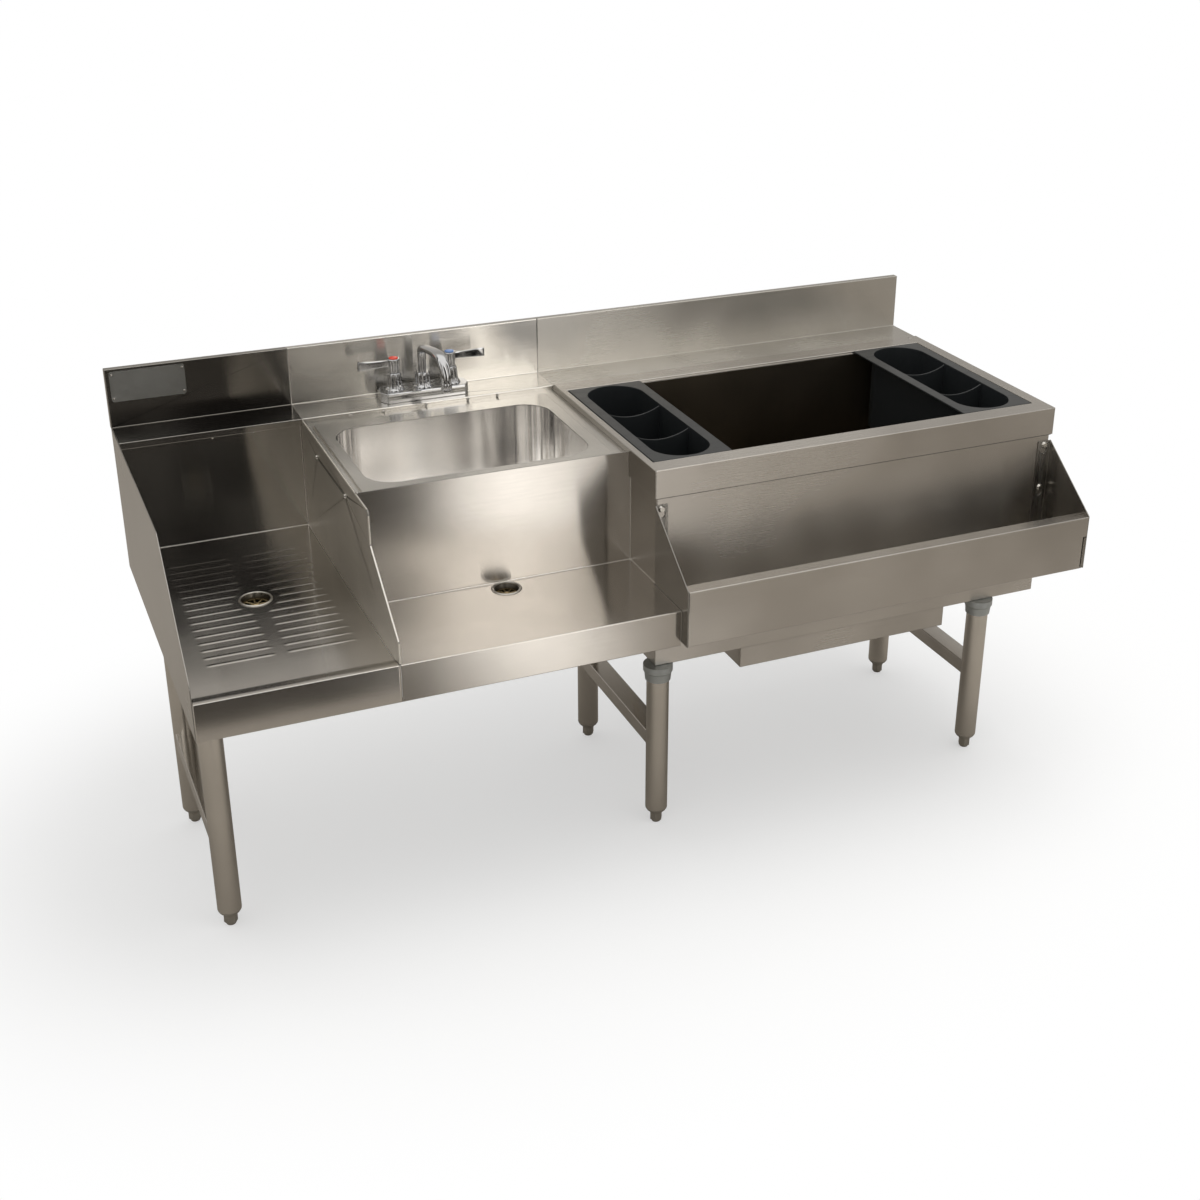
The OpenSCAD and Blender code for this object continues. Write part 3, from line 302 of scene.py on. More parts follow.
def merge_flat_faces(mesh):
    """Joins coplanar neighbours, except round a hole, where the result has no single rim."""
    left = set(mesh.faces)
    groups = []
    while left:
        seed = left.pop()
        group, stack = {seed}, [seed]
        while stack:
            for edge in stack.pop().edges:
                if len(edge.link_faces) != 2:
                    continue
                for face in edge.link_faces:
                    if face in left and face.normal.dot(seed.normal) > 0.99999:
                        left.discard(face)
                        group.add(face)
                        stack.append(face)
        groups.append(group)
    for group in groups:
        if len(group) < 2:
            continue
        rim = [e for f in group for e in f.edges
               if sum(g in group for g in e.link_faces) == 1]
        corners = {v for e in rim for v in e.verts}
        follow = {v: [e for e in rim if v in e.verts] for v in corners}
        if any(len(edges) != 2 for edges in follow.values()):
            continue
        start = rim[0]
        walked, vert, edge = {start}, start.verts[1], start
        while True:
            edge = next(e for e in follow[vert] if e is not edge)
            if edge in walked:
                break
            walked.add(edge)
            vert = edge.other_vert(vert)
        if len(walked) == len(rim):
            bmesh.ops.dissolve_faces(mesh, faces=list(group), use_verts=False)


def set_fold_normals(data, fold_index=1):
    """Flat shading on the sheet's faces and smooth shading round its folds."""
    flat = [Vector() for _ in data.vertices]
    bent = [Vector() for _ in data.vertices]
    for polygon in data.polygons:
        into = bent if polygon.material_index == fold_index else flat
        for v in polygon.vertices:
            into[v] += polygon.normal * polygon.area
    normals = []
    for polygon in data.polygons:
        polygon.use_smooth = True
        for v in polygon.vertices:
            if polygon.material_index != fold_index:
                normals.append(polygon.normal.copy())
                continue
            guide = flat[v] if flat[v].length > 0 else bent[v]
            guide = guide.normalized()
            if guide.dot(polygon.normal) < 0.5:
                guide = bent[v].normalized()
            normals.append(guide)
    for polygon in data.polygons:
        polygon.material_index = 0
    data.normals_split_custom_set(normals)


def coplanar_groups(mesh):
    """Numbers the flat regions and lists the rim of each."""
    number, rims = {}, []
    for seed in mesh.faces:
        if seed in number:
            continue
        number[seed] = len(rims)
        stack, rim = [seed], []
        while stack:
            for edge in stack.pop().edges:
                joined = [f for f in edge.link_faces if f.normal.dot(seed.normal) > 0.99999]
                if len(joined) < 2:
                    rim.append((edge.verts[0].co.copy(), edge.verts[1].co.copy()))
                for face in joined:
                    if face not in number:
                        number[face] = len(rims)
                        stack.append(face)
        rims.append(rim)
    return number, rims


def room_inside(edge, face, rim):
    """Distance from an edge straight across its flat region to the region's other side."""
    corner = next(loop for loop in face.loops if loop.edge == edge)
    a, b = corner.vert.co, corner.link_loop_next.vert.co
    along = (b - a).normalized()
    inward = face.normal.cross(along)
    least = 1.0
    for share in (0.1, 0.5, 0.9):
        start = a.lerp(b, share)
        for p, q in rim:
            p2 = ((p - start).dot(along), (p - start).dot(inward))
            q2 = ((q - start).dot(along), (q - start).dot(inward))
            if (p2[0] > 0) == (q2[0] > 0):
                continue
            reach = p2[1] + (q2[1] - p2[1]) * p2[0] / (p2[0] - q2[0])
            if reach > 1e-5:
                least = min(least, reach)
    return least


def soften(node, bend=1.6, rim=0.35, segments=3, sheet=2.2, least=25):
    """A copy of a node whose folds and cut edges are rounded.

    A fold, where two broad faces meet, gets the radius bend in millimetres, and a cut
    edge, where one face is no wider than the sheet, gets the radius rim."""
    source = nodes[node]
    mesh = bmesh.new()
    mesh.from_mesh(source.data)
    bmesh.ops.remove_doubles(mesh, verts=mesh.verts, dist=1e-6)
    merge_flat_faces(mesh)
    number, rims = coplanar_groups(mesh)
    weight = mesh.edges.layers.float.new("bevel_weight_edge")
    for edge in mesh.edges:
        if len(edge.link_faces) != 2 or edge.calc_face_angle(0) < math.radians(least):
            continue
        room = min(room_inside(edge, f, rims[number[f]]) for f in edge.link_faces)
        wanted = rim if room < sheet * MM else bend if edge.is_convex else 0.8 * bend
        edge[weight] = min(wanted, 0.4 * room / MM) / bend
    curved = {e for e in mesh.edges
              if len(e.link_faces) == 2
              and math.radians(0.6) < e.calc_face_angle(0) < math.radians(least)}
    for face in mesh.faces:
        face.material_index = 0
    round_faces = {f for e in curved for f in e.link_faces}
    for face in round_faces:
        face.material_index = 2
    data = bpy.data.meshes.new(node + "_softened")
    mesh.to_mesh(data)
    mesh.free()
    steel_used = source.data.materials[0]
    for _ in range(3):
        data.materials.append(steel_used)
    piece = link(node + "_softened", data)
    bevel = piece.modifiers.new("folds", "BEVEL")
    bevel.limit_method = "WEIGHT"
    bevel.width = bend * MM
    bevel.segments = segments
    bevel.material = 1
    bevel.use_clamp_overlap = False
    bpy.context.view_layer.update()
    shaped = bpy.data.meshes.new_from_object(piece.evaluated_get(
        bpy.context.evaluated_depsgraph_get()))
    piece.modifiers.clear()
    piece.data = shaped
    shaped.name = node + "_softened"
    for polygon in shaped.polygons:
        if polygon.material_index == 2:
            polygon.material_index = 1
    set_fold_normals(shaped)
    shaped.materials.clear()
    shaped.materials.append(steel_used)
    if sheet > 1:
        # sheared edges are duller than the sheet's faces
        shaped.materials.append(STEEL_CUT)
        for polygon in shaped.polygons:
            lengths = sum((shaped.vertices[a].co - shaped.vertices[b].co).length
                          for a, b in polygon.edge_keys)
            if 2 * polygon.area / lengths < 0.5 * MM:
                polygon.material_index = 1
    if node == "splash_left":
        # the darker copy is painted shade on the front of this sheet; the rear keeps the plain steel of
        # the rest of the back
        shaped.materials.append(STEEL_MAIN)
        for polygon in shaped.polygons:
            if polygon.material_index == 0 and polygon.normal.y > 0.5:
                polygon.material_index = 2
    return dress(piece, node)


# ---------------------------------------------------------------- drainboard with embossed ribs
def turned(points, radii, steps=4):
    """Rounds the corners of an open outline of (depth, height) points in millimetres."""
    out = [Vector(points[0])]
    for before, corner, after, radius in zip(points, points[1:], points[2:], radii):
        corner = Vector(corner)
        a = (Vector(before) - corner).normalized()
        b = (Vector(after) - corner).normalized()
        half = a.angle(b) / 2
        reach = radius / math.tan(half)
        centre = corner + (a + b).normalized() * radius / math.sin(half)
        start, end = corner + a * reach - centre, corner + b * reach - centre
        turn = start.angle_signed(end)
        for k in range(steps + 1):
            angle = -turn * k / steps
            out.append(centre + Vector((start.x * math.cos(angle) - start.y * math.sin(angle),
                                        start.x * math.sin(angle) + start.y * math.cos(angle))))
    out.append(Vector(points[-1]))
    return out


RIB_FIRST, RIB_PITCH, RIB_COUNT = 156.0, 24.4, 16
RIB_COLUMNS = ((45.0, 141.0), (166.0, 266.0))
RIB_HALF, RIB_HEIGHT, RIB_CLEAR = 4.6, 0.55, 36.0
DRAIN_X, DRAIN_D, DRAIN_HOLE = 155.5, 327.0, 25.0
FLOOR_TOP, FRONT_TOP, APRON_LOW = 460.0, 464.0, 402.0
BOARD_FRONT, RISER_D, SHEET = 637.0, 68.0, 1.5


def rib_height(x, depth):
    """Height of the embossed ribs above the floor at one point."""
    index = round((depth - RIB_FIRST) / RIB_PITCH)
    if not 0 <= index < RIB_COUNT:
        return 0.0
    line = RIB_FIRST + index * RIB_PITCH
    across = abs(depth - line) / RIB_HALF
    if across >= 1:
        return 0.0
    gap = math.sqrt(max(RIB_CLEAR ** 2 - (line - DRAIN_D) ** 2, 0.0))
    for number, (x0, x1) in enumerate(RIB_COLUMNS):
        if number == 0:
            x1 = min(x1, DRAIN_X - gap)
        else:
            x0 = max(x0, DRAIN_X + gap)
        inside = min(x - x0, x1 - x) / RIB_HALF
        if inside <= -1:
            continue
        along = min(max((inside + 1) / 2, 0.0), 1.0)
        level = math.cos(across * math.pi / 2) ** 2 * math.sin(along * math.pi / 2) ** 2
        return RIB_HEIGHT * level
    return 0.0


def make_drainboard():
    outline = turned([(RISER_D, FLOOR_TOP), (BOARD_FRONT - 25, FLOOR_TOP),
                      (BOARD_FRONT - 11, FRONT_TOP), (BOARD_FRONT, FRONT_TOP),
                      (BOARD_FRONT, APRON_LOW), (BOARD_FRONT - 12, APRON_LOW)],
                     (30, 30, 1.5, 1.5))
    first, rest = outline[0], outline[1:]
    rows = [first]
    depth = first.x
    while depth < rest[0].x - 2:
        near = min(abs(depth - RIB_FIRST - k * RIB_PITCH) for k in range(RIB_COUNT))
        depth += 1.0 if near < RIB_HALF + 1 else 2.4
        rows.append(Vector((min(depth, rest[0].x - 1), FLOOR_TOP)))
    rows += rest
    x0, x1 = SHEET + 0.05, 304.55
    columns, x = [x0], x0
    while x < x1 - 2:
        x = min(x + 2.0, x1)
        columns.append(x)
    columns[-1] = x1
    mesh = bmesh.new()
    grid = []
    for row in rows:
        flat = row.y == FLOOR_TOP
        grid.append([mesh.verts.new(at(x, row.x, row.y + (rib_height(x, row.x) if flat else 0)))
                     for x in columns])
    for a, b in zip(grid, grid[1:]):
        for k in range(len(columns) - 1):
            face = (a[k], b[k], b[k + 1], a[k + 1])
            middle = sum((v.co for v in face), Vector()) / 4
            drain = at(DRAIN_X, DRAIN_D, FLOOR_TOP)
            if (middle - drain).xy.length < DRAIN_HOLE * MM and abs(middle.z - drain.z) < 0.005:
                continue
            mesh.faces.new(face)
    bmesh.ops.recalc_face_normals(mesh, faces=mesh.faces)
    up = next(f for f in mesh.faces if abs(f.normal.z) > 0.9)
    if up.normal.z < 0:
        bmesh.ops.reverse_faces(mesh, faces=mesh.faces)
    data = bpy.data.meshes.new("drainboard_sheet")
    mesh.to_mesh(data)
    mesh.free()
    for polygon in data.polygons:
        polygon.use_smooth = True
    piece = link("drainboard_sheet", data)
    thick = piece.modifiers.new("thickness", "SOLIDIFY")
    thick.thickness = SHEET * MM
    thick.offset = -1
    return dress(piece, "drainboard")


# ---------------------------------------------------------------- faucet
def lathe(mesh, centre, profile, sides=48, flutes=0, cut=0.0, fluted=()):
    """Adds a turned solid; profile is (radius, height) in millimetres, from the bottom up."""
    rings = []
    for number, (radius, height) in enumerate(profile):
        ring = []
        for k in range(sides):
            angle = 2 * math.pi * k / sides
            r = radius
            if flutes and number in fluted:
                r -= cut * (0.5 - 0.5 * math.cos(flutes * angle)) ** 1.5
            ring.append(mesh.verts.new(centre + Vector((r * math.cos(angle), r * math.sin(angle),
                                                        height)) * MM))
        rings.append(ring)
    for a, b in zip(rings, rings[1:]):
        for k in range(sides):
            mesh.faces.new((a[k], a[(k + 1) % sides], b[(k + 1) % sides], b[k]))
    mesh.faces.new(list(reversed(rings[0])))
    mesh.faces.new(rings[-1])
    return rings


def sweep(mesh, sections):
    """Adds a skin through rings of equal length, closed at both ends."""
    rings = [[mesh.verts.new(p) for p in ring] for ring in sections]
    n = len(rings[0])
    for a, b in zip(rings, rings[1:]):
        for k in range(n):
            mesh.faces.new((a[k], a[(k + 1) % n], b[(k + 1) % n], b[k]))
    mesh.faces.new(list(reversed(rings[0])))
    mesh.faces.new(rings[-1])


def finish_mesh(mesh, name, sharp=35):
    bmesh.ops.recalc_face_normals(mesh, faces=mesh.faces)
    data = bpy.data.meshes.new(name)
    for edge in mesh.edges:
        edge.smooth = len(edge.link_faces) == 2 and edge.calc_face_angle(0) < math.radians(sharp)
    for face in mesh.faces:
        face.smooth = True
    mesh.to_mesh(data)
    mesh.free()
    return link(name, data)


VALVE_X, VALVE_D = (480.2, 581.8), 40.0
SPOUT_X, BODY_TOP, BONNET_TOP = 531.0, 678.4, 709.4
HUB_H, LEVER_L, SPOUT_TURN = 25.5, 64.0, 4.0


def rounded_section(centre, side, up, half_w, half_h, power=2.6, count=28):
    ring = []
    for k in range(count):
        angle = 2 * math.pi * k / count
        c, t = math.cos(angle), math.sin(angle)
        a = math.copysign(abs(c) ** (2 / power), c) * half_w
        b = math.copysign(abs(t) ** (2 / power), t) * half_h
        ring.append(centre + side * a * MM + up * b * MM)
    return ring


def make_spout():
    """Cast spout: round riser, a broad flat-backed arm, and an end that curves down."""
    base = at(SPOUT_X, VALVE_D, BODY_TOP)
    turn = math.radians(SPOUT_TURN - 90)
    ahead = Vector((math.cos(turn), math.sin(turn), 0))
    side = Vector((-math.sin(turn), math.cos(turn), 0))
    # reach, height, half width, half depth, squareness
    path = [(0, -6.6, 7.4, 7.4, 2.0), (0, 24, 7.4, 7.4, 2.0), (0, 50, 7.6, 7.6, 2.0),
            (0.5, 58, 7.8, 7.6, 2.1), (2.6, 64.5, 8.0, 7.4, 2.3), (7.5, 69.3, 8.3, 6.6, 2.6),
            (15, 72, 8.6, 5.9, 3.0), (30, 74.6, 8.8, 5.7, 3.2), (50, 77.6, 9.0, 5.7, 3.3),
            (68, 79.8, 9.2, 5.9, 3.3), (82, 80.3, 9.4, 6.2, 3.2), (93, 78.4, 9.5, 6.6, 3.0),
            (102, 74.0, 9.5, 7.0, 2.8), (109, 66.8, 9.4, 7.6, 2.6), (113.6, 58.0, 9.2, 8.2, 2.3),
            (115.6, 50.0, 8.9, 8.6, 2.1), (116, 43.6, 8.6, 8.6, 2.0), (116, 40.2, 8.6, 8.6, 2.0)]
    fine = []
    for k in range(len(path) - 1):
        p0, p1 = path[max(k - 1, 0)], path[k]
        p2, p3 = path[k + 1], path[min(k + 2, len(path) - 1)]
        for step in range(3):
            t = step / 3
            fine.append([0.5 * (2 * b + (c - a) * t + (2 * a - 5 * b + 4 * c - d) * t * t
                                + (3 * b - a - 3 * c + d) * t ** 3)
                         for a, b, c, d in zip(p0, p1, p2, p3)])
    fine.append(list(path[-1]))
    sections = []
    for k, (reach, height, half_w, half_h, power) in enumerate(fine):
        before, after = fine[max(k - 1, 0)], fine[min(k + 1, len(fine) - 1)]
        along = (ahead * (after[0] - before[0])
                 + Vector((0, 0, after[1] - before[1]))).normalized()
        up = along.cross(side).normalized()
        centre = base + ahead * reach * MM + Vector((0, 0, height * MM))
        sections.append(rounded_section(centre, side, up, half_w, half_h, power))
    mesh = bmesh.new()
    sweep(mesh, sections)
    piece = finish_mesh(mesh, "spout_casting", 40)
    dress(piece, "spout")
    mesh = bmesh.new()
    tip = base + ahead * 116 * MM + Vector((0, 0, 25.2 * MM))
    lathe(mesh, tip, [(6.0, 2.6), (6.4, 0.2), (8.6, 0.0), (9.2, 0.7), (9.3, 4.6), (8.9, 5.2),
                      (9.3, 5.8), (9.3, 13.6), (8.8, 14.8), (7.2, 15.0)], fluted=(4, 5, 6, 7),
          flutes=24, cut=0.0)
    dress(finish_mesh(mesh, "aerator_shell"), "aerator")


def make_valves():
    mesh = bmesh.new()
    for x in VALVE_X:
        lathe(mesh, at(x, VALVE_D, BODY_TOP), [
            (17.4, 0.05), (17.5, 0.9), (17.1, 1.9), (15.9, 2.8), (14.9, 4.6), (14.2, 7.5),
            (13.6, 12), (13.1, 18), (12.6, 24), (12.2, 28), (11.4, 29.9), (10.2, 30.9),
            (9.0, 30.95)], sides=96, flutes=8, cut=1.7, fluted=(4, 5, 6, 7, 8, 9))
    dress(finish_mesh(mesh, "bonnet_shells", 50), "valve_bonnets")
    mesh = bmesh.new()
    lathe(mesh, at(SPOUT_X, VALVE_D, BODY_TOP), [
        (17.9, 0.05), (18.0, 0.9), (17.4, 1.9), (15.8, 3.2), (14.8, 5.6), (14.2, 8.5),
        (14.0, 12), (14.0, 21), (13.5, 24.0), (12.4, 25.4), (10.4, 26.0), (8.2, 26.0)],
        sides=96, flutes=8, cut=1.8, fluted=(4, 5, 6, 7, 8))
    dress(finish_mesh(mesh, "spout_nut_shell", 50), "spout_nut")


def make_lever(node, x, sign):
    """Fluted hub and a paddle that widens towards its end."""
    centre = at(x, VALVE_D, BONNET_TOP)
    mesh = bmesh.new()
    lathe(mesh, centre, [(8.6, 0.35), (9.3, 0.7), (9.7, 3), (10.2, 8), (10.7, 14), (11.0, 19),
                         (11.2, 22.5), (11.0, 24.4), (10.2, 25.3), (9.0, 25.45)],
          sides=120, flutes=10, cut=1.4, fluted=(2, 3, 4, 5, 6))
    # distance from the axis, low edge, high edge, half thickness
    blade = [(8.0, 11.8, 23.0, 3.0), (13.0, 11.8, 23.0, 2.8), (19.0, 11.6, 23.1, 2.7),
             (24.0, 11.4, 23.3, 2.8), (36.0, 10.9, 23.8, 3.0), (50.0, 10.2, 24.5, 3.3),
             (61.0, 9.6, 25.1, 3.5), (63.4, 9.9, 24.9, 3.3), (64.0, 10.6, 24.3, 2.8)]
    sections = []
    for reach, low, high, thick in blade:
        middle = centre + Vector((sign * reach, 0, (low + high) / 2)) * MM
        sections.append(rounded_section(middle, Vector((0, 1, 0)), Vector((0, 0, 1)), thick,
                                        (high - low) / 2, 11.0, 40))
    sweep(mesh, sections)
    dress(finish_mesh(mesh, node + "_cast", 40), node)


def make_buttons():
    for node, x in (("hot_index", VALVE_X[0]), ("cold_index", VALVE_X[1])):
        mesh = bmesh.new()
        lathe(mesh, at(x, VALVE_D, BONNET_TOP + HUB_H), [
            (8.1, 0.02), (8.15, 0.9), (7.8, 1.3), (6.6, 1.55), (4.0, 1.72), (1.0, 1.78)])
        dress(finish_mesh(mesh, node + "_button", 50), node)


# ---------------------------------------------------------------- wastes, rivets and welds
def make_waste(node, x, depth, z, flange_r, bore_r, tail_r, body_l, tail_l, barred):
    """Turned flange and body, with a sunk strainer."""
    mesh = bmesh.new()
    centre = at(x, depth, z)
    lip_r = flange_r - 3.4
    profile = [(lip_r, 0.02), (flange_r - 0.2, 0.02), (flange_r, 0.5), (flange_r - 0.7, 1.3),
               (flange_r - 1.7, 1.8), (lip_r + 0.7, 1.75), (lip_r, 1.2), (lip_r - 0.25, 0.2)]
    sides = 64
    rings = [[mesh.verts.new(centre + Vector((r * math.cos(2 * math.pi * k / sides),
                                              r * math.sin(2 * math.pi * k / sides), h)) * MM)
              for k in range(sides)] for r, h in profile]
    for a, b in zip(rings, rings[1:] + rings[:1]):
        for k in range(sides):
            mesh.faces.new((a[k], a[(k + 1) % sides], b[(k + 1) % sides], b[k]))
    dress(finish_mesh(mesh, node + "_flange", 40), node)
    mesh = bmesh.new()
    profile = [(lip_r - 0.1, 0.6), (lip_r - 1.4, -1.4), (bore_r, -6.5), (bore_r - 0.4, -8),
               (bore_r - 0.4, -body_l), (tail_r - 1.5, -body_l - 6),
               (tail_r - 1.5, -body_l - 6 - tail_l), (tail_r, -body_l - 6 - tail_l),
               (tail_r, -body_l - 6), (bore_r + 1.6, -body_l), (bore_r + 1.6, -6.0),
               (lip_r - 0.1, -0.8)]
    rings = [[mesh.verts.new(centre + Vector((r * math.cos(2 * math.pi * k / sides),
                                              r * math.sin(2 * math.pi * k / sides), h)) * MM)
              for k in range(sides)] for r, h in profile]
    for a, b in zip(rings, rings[1:] + rings[:1]):
        for k in range(sides):
            mesh.faces.new((a[k], a[(k + 1) % sides], b[(k + 1) % sides], b[k]))
    # the cup's dark metal is painted shade down the drain
    cup = finish_mesh(mesh, node + "_cup", 40)
    cup.data.materials.append(DRAIN_CUP_PAINTED_SHADE)
    dress(cup, node)
    if not barred:
        return
    mesh = bmesh.new()
    deep = -8.5
    lathe(mesh, centre, [(4.5, deep - 2), (5.4, deep - 1.2), (5.4, deep + 0.4), (4.6, deep + 1.2),
                         (2.0, deep + 1.5)], sides=24)
    for k in range(8):
        angle = math.pi * k / 4
        out = Vector((math.cos(angle), math.sin(angle), 0))
        over = Vector((-out.y, out.x, 0))
        sections = [rounded_section(centre + out * reach * MM + Vector((0, 0, (deep - 0.6) * MM)),
                                    over, Vector((0, 0, 1)), 1.2, 0.9, 3.0, 12)
                    for reach in (4.0, bore_r - 0.05)]
        sweep(mesh, sections)
    ring_in, ring_out = bore_r - 3.2, bore_r - 0.02
    rings = [[mesh.verts.new(centre + Vector((r * math.cos(2 * math.pi * k / 48),
                                              r * math.sin(2 * math.pi * k / 48), h)) * MM)
              for k in range(48)]
             for r, h in ((ring_in, deep), (ring_out, deep), (ring_out, deep - 2),
                          (ring_in, deep - 2))]
    for a, b in zip(rings, rings[1:] + rings[:1]):
        for k in range(48):
            mesh.faces.new((a[k], a[(k + 1) % 48], b[(k + 1) % 48], b[k]))
    piece = finish_mesh(mesh, node + "_strainer", 40)
    piece.data.materials.append(STRAINER)
    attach(piece, "bench")


def rivet(mesh, centre, out, radius, height, sides=20):
    """Adds a low domed head whose axis is out."""
    side = out.orthogonal().normalized()
    other = out.cross(side)
    rings = []
    for share, rise in ((1.0, 0.0), (0.98, 0.35), (0.85, 0.7), (0.55, 0.93), (0.2, 1.0)):
        rings.append([mesh.verts.new(centre + (side * math.cos(2 * math.pi * k / sides)
                                               + other * math.sin(2 * math.pi * k / sides))
                                     * radius * share * MM + out * height * rise * MM)
                      for k in range(sides)])
    for a, b in zip(rings, rings[1:]):
        for k in range(sides):
            mesh.faces.new((a[k], a[(k + 1) % sides], b[(k + 1) % sides], b[k]))
    mesh.faces.new(rings[-1])
    mesh.faces.new(list(reversed(rings[0])))


def weld_lump(mesh, centre, size, out, seed):
    """Adds an uneven flattened drop of weld metal."""
    start = len(mesh.verts)
    bmesh.ops.create_icosphere(mesh, subdivisions=2, radius=1.0)
    mesh.verts.ensure_lookup_table()
    for vert in mesh.verts[start:]:
        d = vert.co.normalized()
        wave = 1 + 0.16 * math.sin(5 * d.x + seed) + 0.12 * math.sin(7 * d.y + 2 * d.z + seed * 1.7)
        vert.co = Vector((d.x * size[0], d.y * size[1], d.z * size[2])) * wave * MM + centre


# ---------------------------------------------------------------- corners between sheets
LEFT, RIGHT = Vector((-1, 0, 0)), Vector((1, 0, 0))
AHEAD, UP = Vector((0, -1, 0)), Vector((0, 0, 1))


def corner_fillets(name, runs, radius=1.1, steps=4):
    """Ground welds: a hollow quarter round along each inner corner.

    Each run is (start, end, direction of one face, direction of the other)."""
    mesh = bmesh.new()
    for start, end, one, other in runs:
        rings = []
        for place in (start, end):
            ring = [mesh.verts.new(place - (one + other) * 0.1 * MM)]
            centre = place + (one + other) * radius * MM
            for k in range(steps + 1):
                angle = math.pi / 2 * k / steps
                ring.append(mesh.verts.new(centre - (one * math.cos(angle)
                                                     + other * math.sin(angle)) * radius * MM))
            rings.append(ring)
        a, b = rings
        for k in range(len(a)):
            nxt = (k + 1) % len(a)
            mesh.faces.new((a[k], a[nxt], b[nxt], b[k]))
        mesh.faces.new(list(reversed(a)))
        mesh.faces.new(b)
    piece = finish_mesh(mesh, name, 40)
    piece.data.materials.append(STEEL_BEAD)
    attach(piece, "bench")


DIVIDER_LEFT, DIVIDER_RIGHT, SHELL_LEFT = 303.3, 306.3, 764.0
SINK_FRONT, SHELF_Z, DECK_Z, NOSE_LOW = 427.0, 464.0, 658.0, 648.4


def make_corners():
    corner_fillets("drainboard_corners", [
        (at(1.6, RISER_D, FLOOR_TOP), at(DIVIDER_LEFT, RISER_D, FLOOR_TOP), AHEAD, UP),
        (at(1.5, RISER_D, FLOOR_TOP), at(1.5, 612, FLOOR_TOP), RIGHT, UP),
        (at(DIVIDER_LEFT, RISER_D, FLOOR_TOP), at(DIVIDER_LEFT, 612, FLOOR_TOP), LEFT, UP),
        (at(1.5, RISER_D, FLOOR_TOP), at(1.5, RISER_D, NOSE_LOW), RIGHT, AHEAD),
        (at(DIVIDER_LEFT, RISER_D, FLOOR_TOP), at(DIVIDER_LEFT, RISER_D, NOSE_LOW), LEFT, AHEAD),
    ])
    corner_fillets("sink_corners", [
        (at(DIVIDER_RIGHT, SINK_FRONT, SHELF_Z), at(SHELL_LEFT, SINK_FRONT, SHELF_Z), AHEAD, UP),
        (at(DIVIDER_RIGHT, SINK_FRONT, SHELF_Z), at(DIVIDER_RIGHT, 626, SHELF_Z), RIGHT, UP),
        (at(DIVIDER_RIGHT, SINK_FRONT, SHELF_Z), at(DIVIDER_RIGHT, SINK_FRONT, DECK_Z - 3),
         RIGHT, AHEAD),
        (at(SHELL_LEFT, SINK_FRONT, SHELF_Z), at(SHELL_LEFT, 530, SHELF_Z), LEFT, UP),
        (at(SHELL_LEFT, SINK_FRONT, SHELF_Z), at(SHELL_LEFT, SINK_FRONT, 614), LEFT, AHEAD),
    ])


def make_seam_welds():
    """Dressed welds down the two seams of the backsplash and across the ledge."""
    mesh = bmesh.new()
    for x in (304.8, 762.0):
        path = [(-10, 762.1), (0.1, 762.1), (0.1, 660.5), (79.4, 660.5), (79.5, 650)]
        sections = []
        for k, (depth, z) in enumerate(path):
            before = Vector(path[max(k - 1, 0)])
            after = Vector(path[min(k + 1, len(path) - 1)])
            run = (after - before).normalized()
            out = Vector((-run.y, run.x))
            if k in (0, 4):
                out = Vector((0, 1)) if k == 0 else Vector((1, 0))
            if 0 < k < 4:
                out = {1: Vector((1, 1)), 2: Vector((1, 1)), 3: Vector((1, 1))}[k]
            ring = []
            for across, rise in ((-1.1, -0.3), (-0.8, 0.16), (0.0, 0.24), (0.8, 0.16),
                                 (1.1, -0.3)):
                ring.append(at(x + across, depth + out.x * rise, z + out.y * rise))
            sections.append(ring)
        sweep(mesh, sections)
    piece = finish_mesh(mesh, "seam_welds", 30)
    piece.data.materials.append(STEEL_BEAD)
    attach(piece, "bench")


def block(mesh, low, high, round_mm=0.3):
    """Adds a small bevelled block between two (x, depth, height) corners."""
    start = set(mesh.edges)
    made = bmesh.ops.create_cube(mesh, size=1.0)["verts"]
    a, b = at(*low), at(*high)
    for vert in made:
        vert.co = Vector([(a[k] + b[k]) / 2 + vert.co[k] * abs(b[k] - a[k]) for k in range(3)])
    edges = [e for e in mesh.edges if e not in start]
    bmesh.ops.bevel(mesh, geom=edges, offset=round_mm * MM, segments=2, affect="EDGES",
                    profile=0.5)


def add_detail(mesh, name, material, body, sharp=15):
    piece = finish_mesh(mesh, name, sharp)
    piece.data.materials.append(material)
    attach(piece, body)


BAND_LOW, BAND_FRONT, SHELL_FRONT = 614.5, 534.0, 531.0
RAIL_FRONT, RAIL_TOP, RAIL_BOTTOM, RAIL_FOLD = 660.0, 506.0, 409.0, 470.0
RIM_Z = 663.0


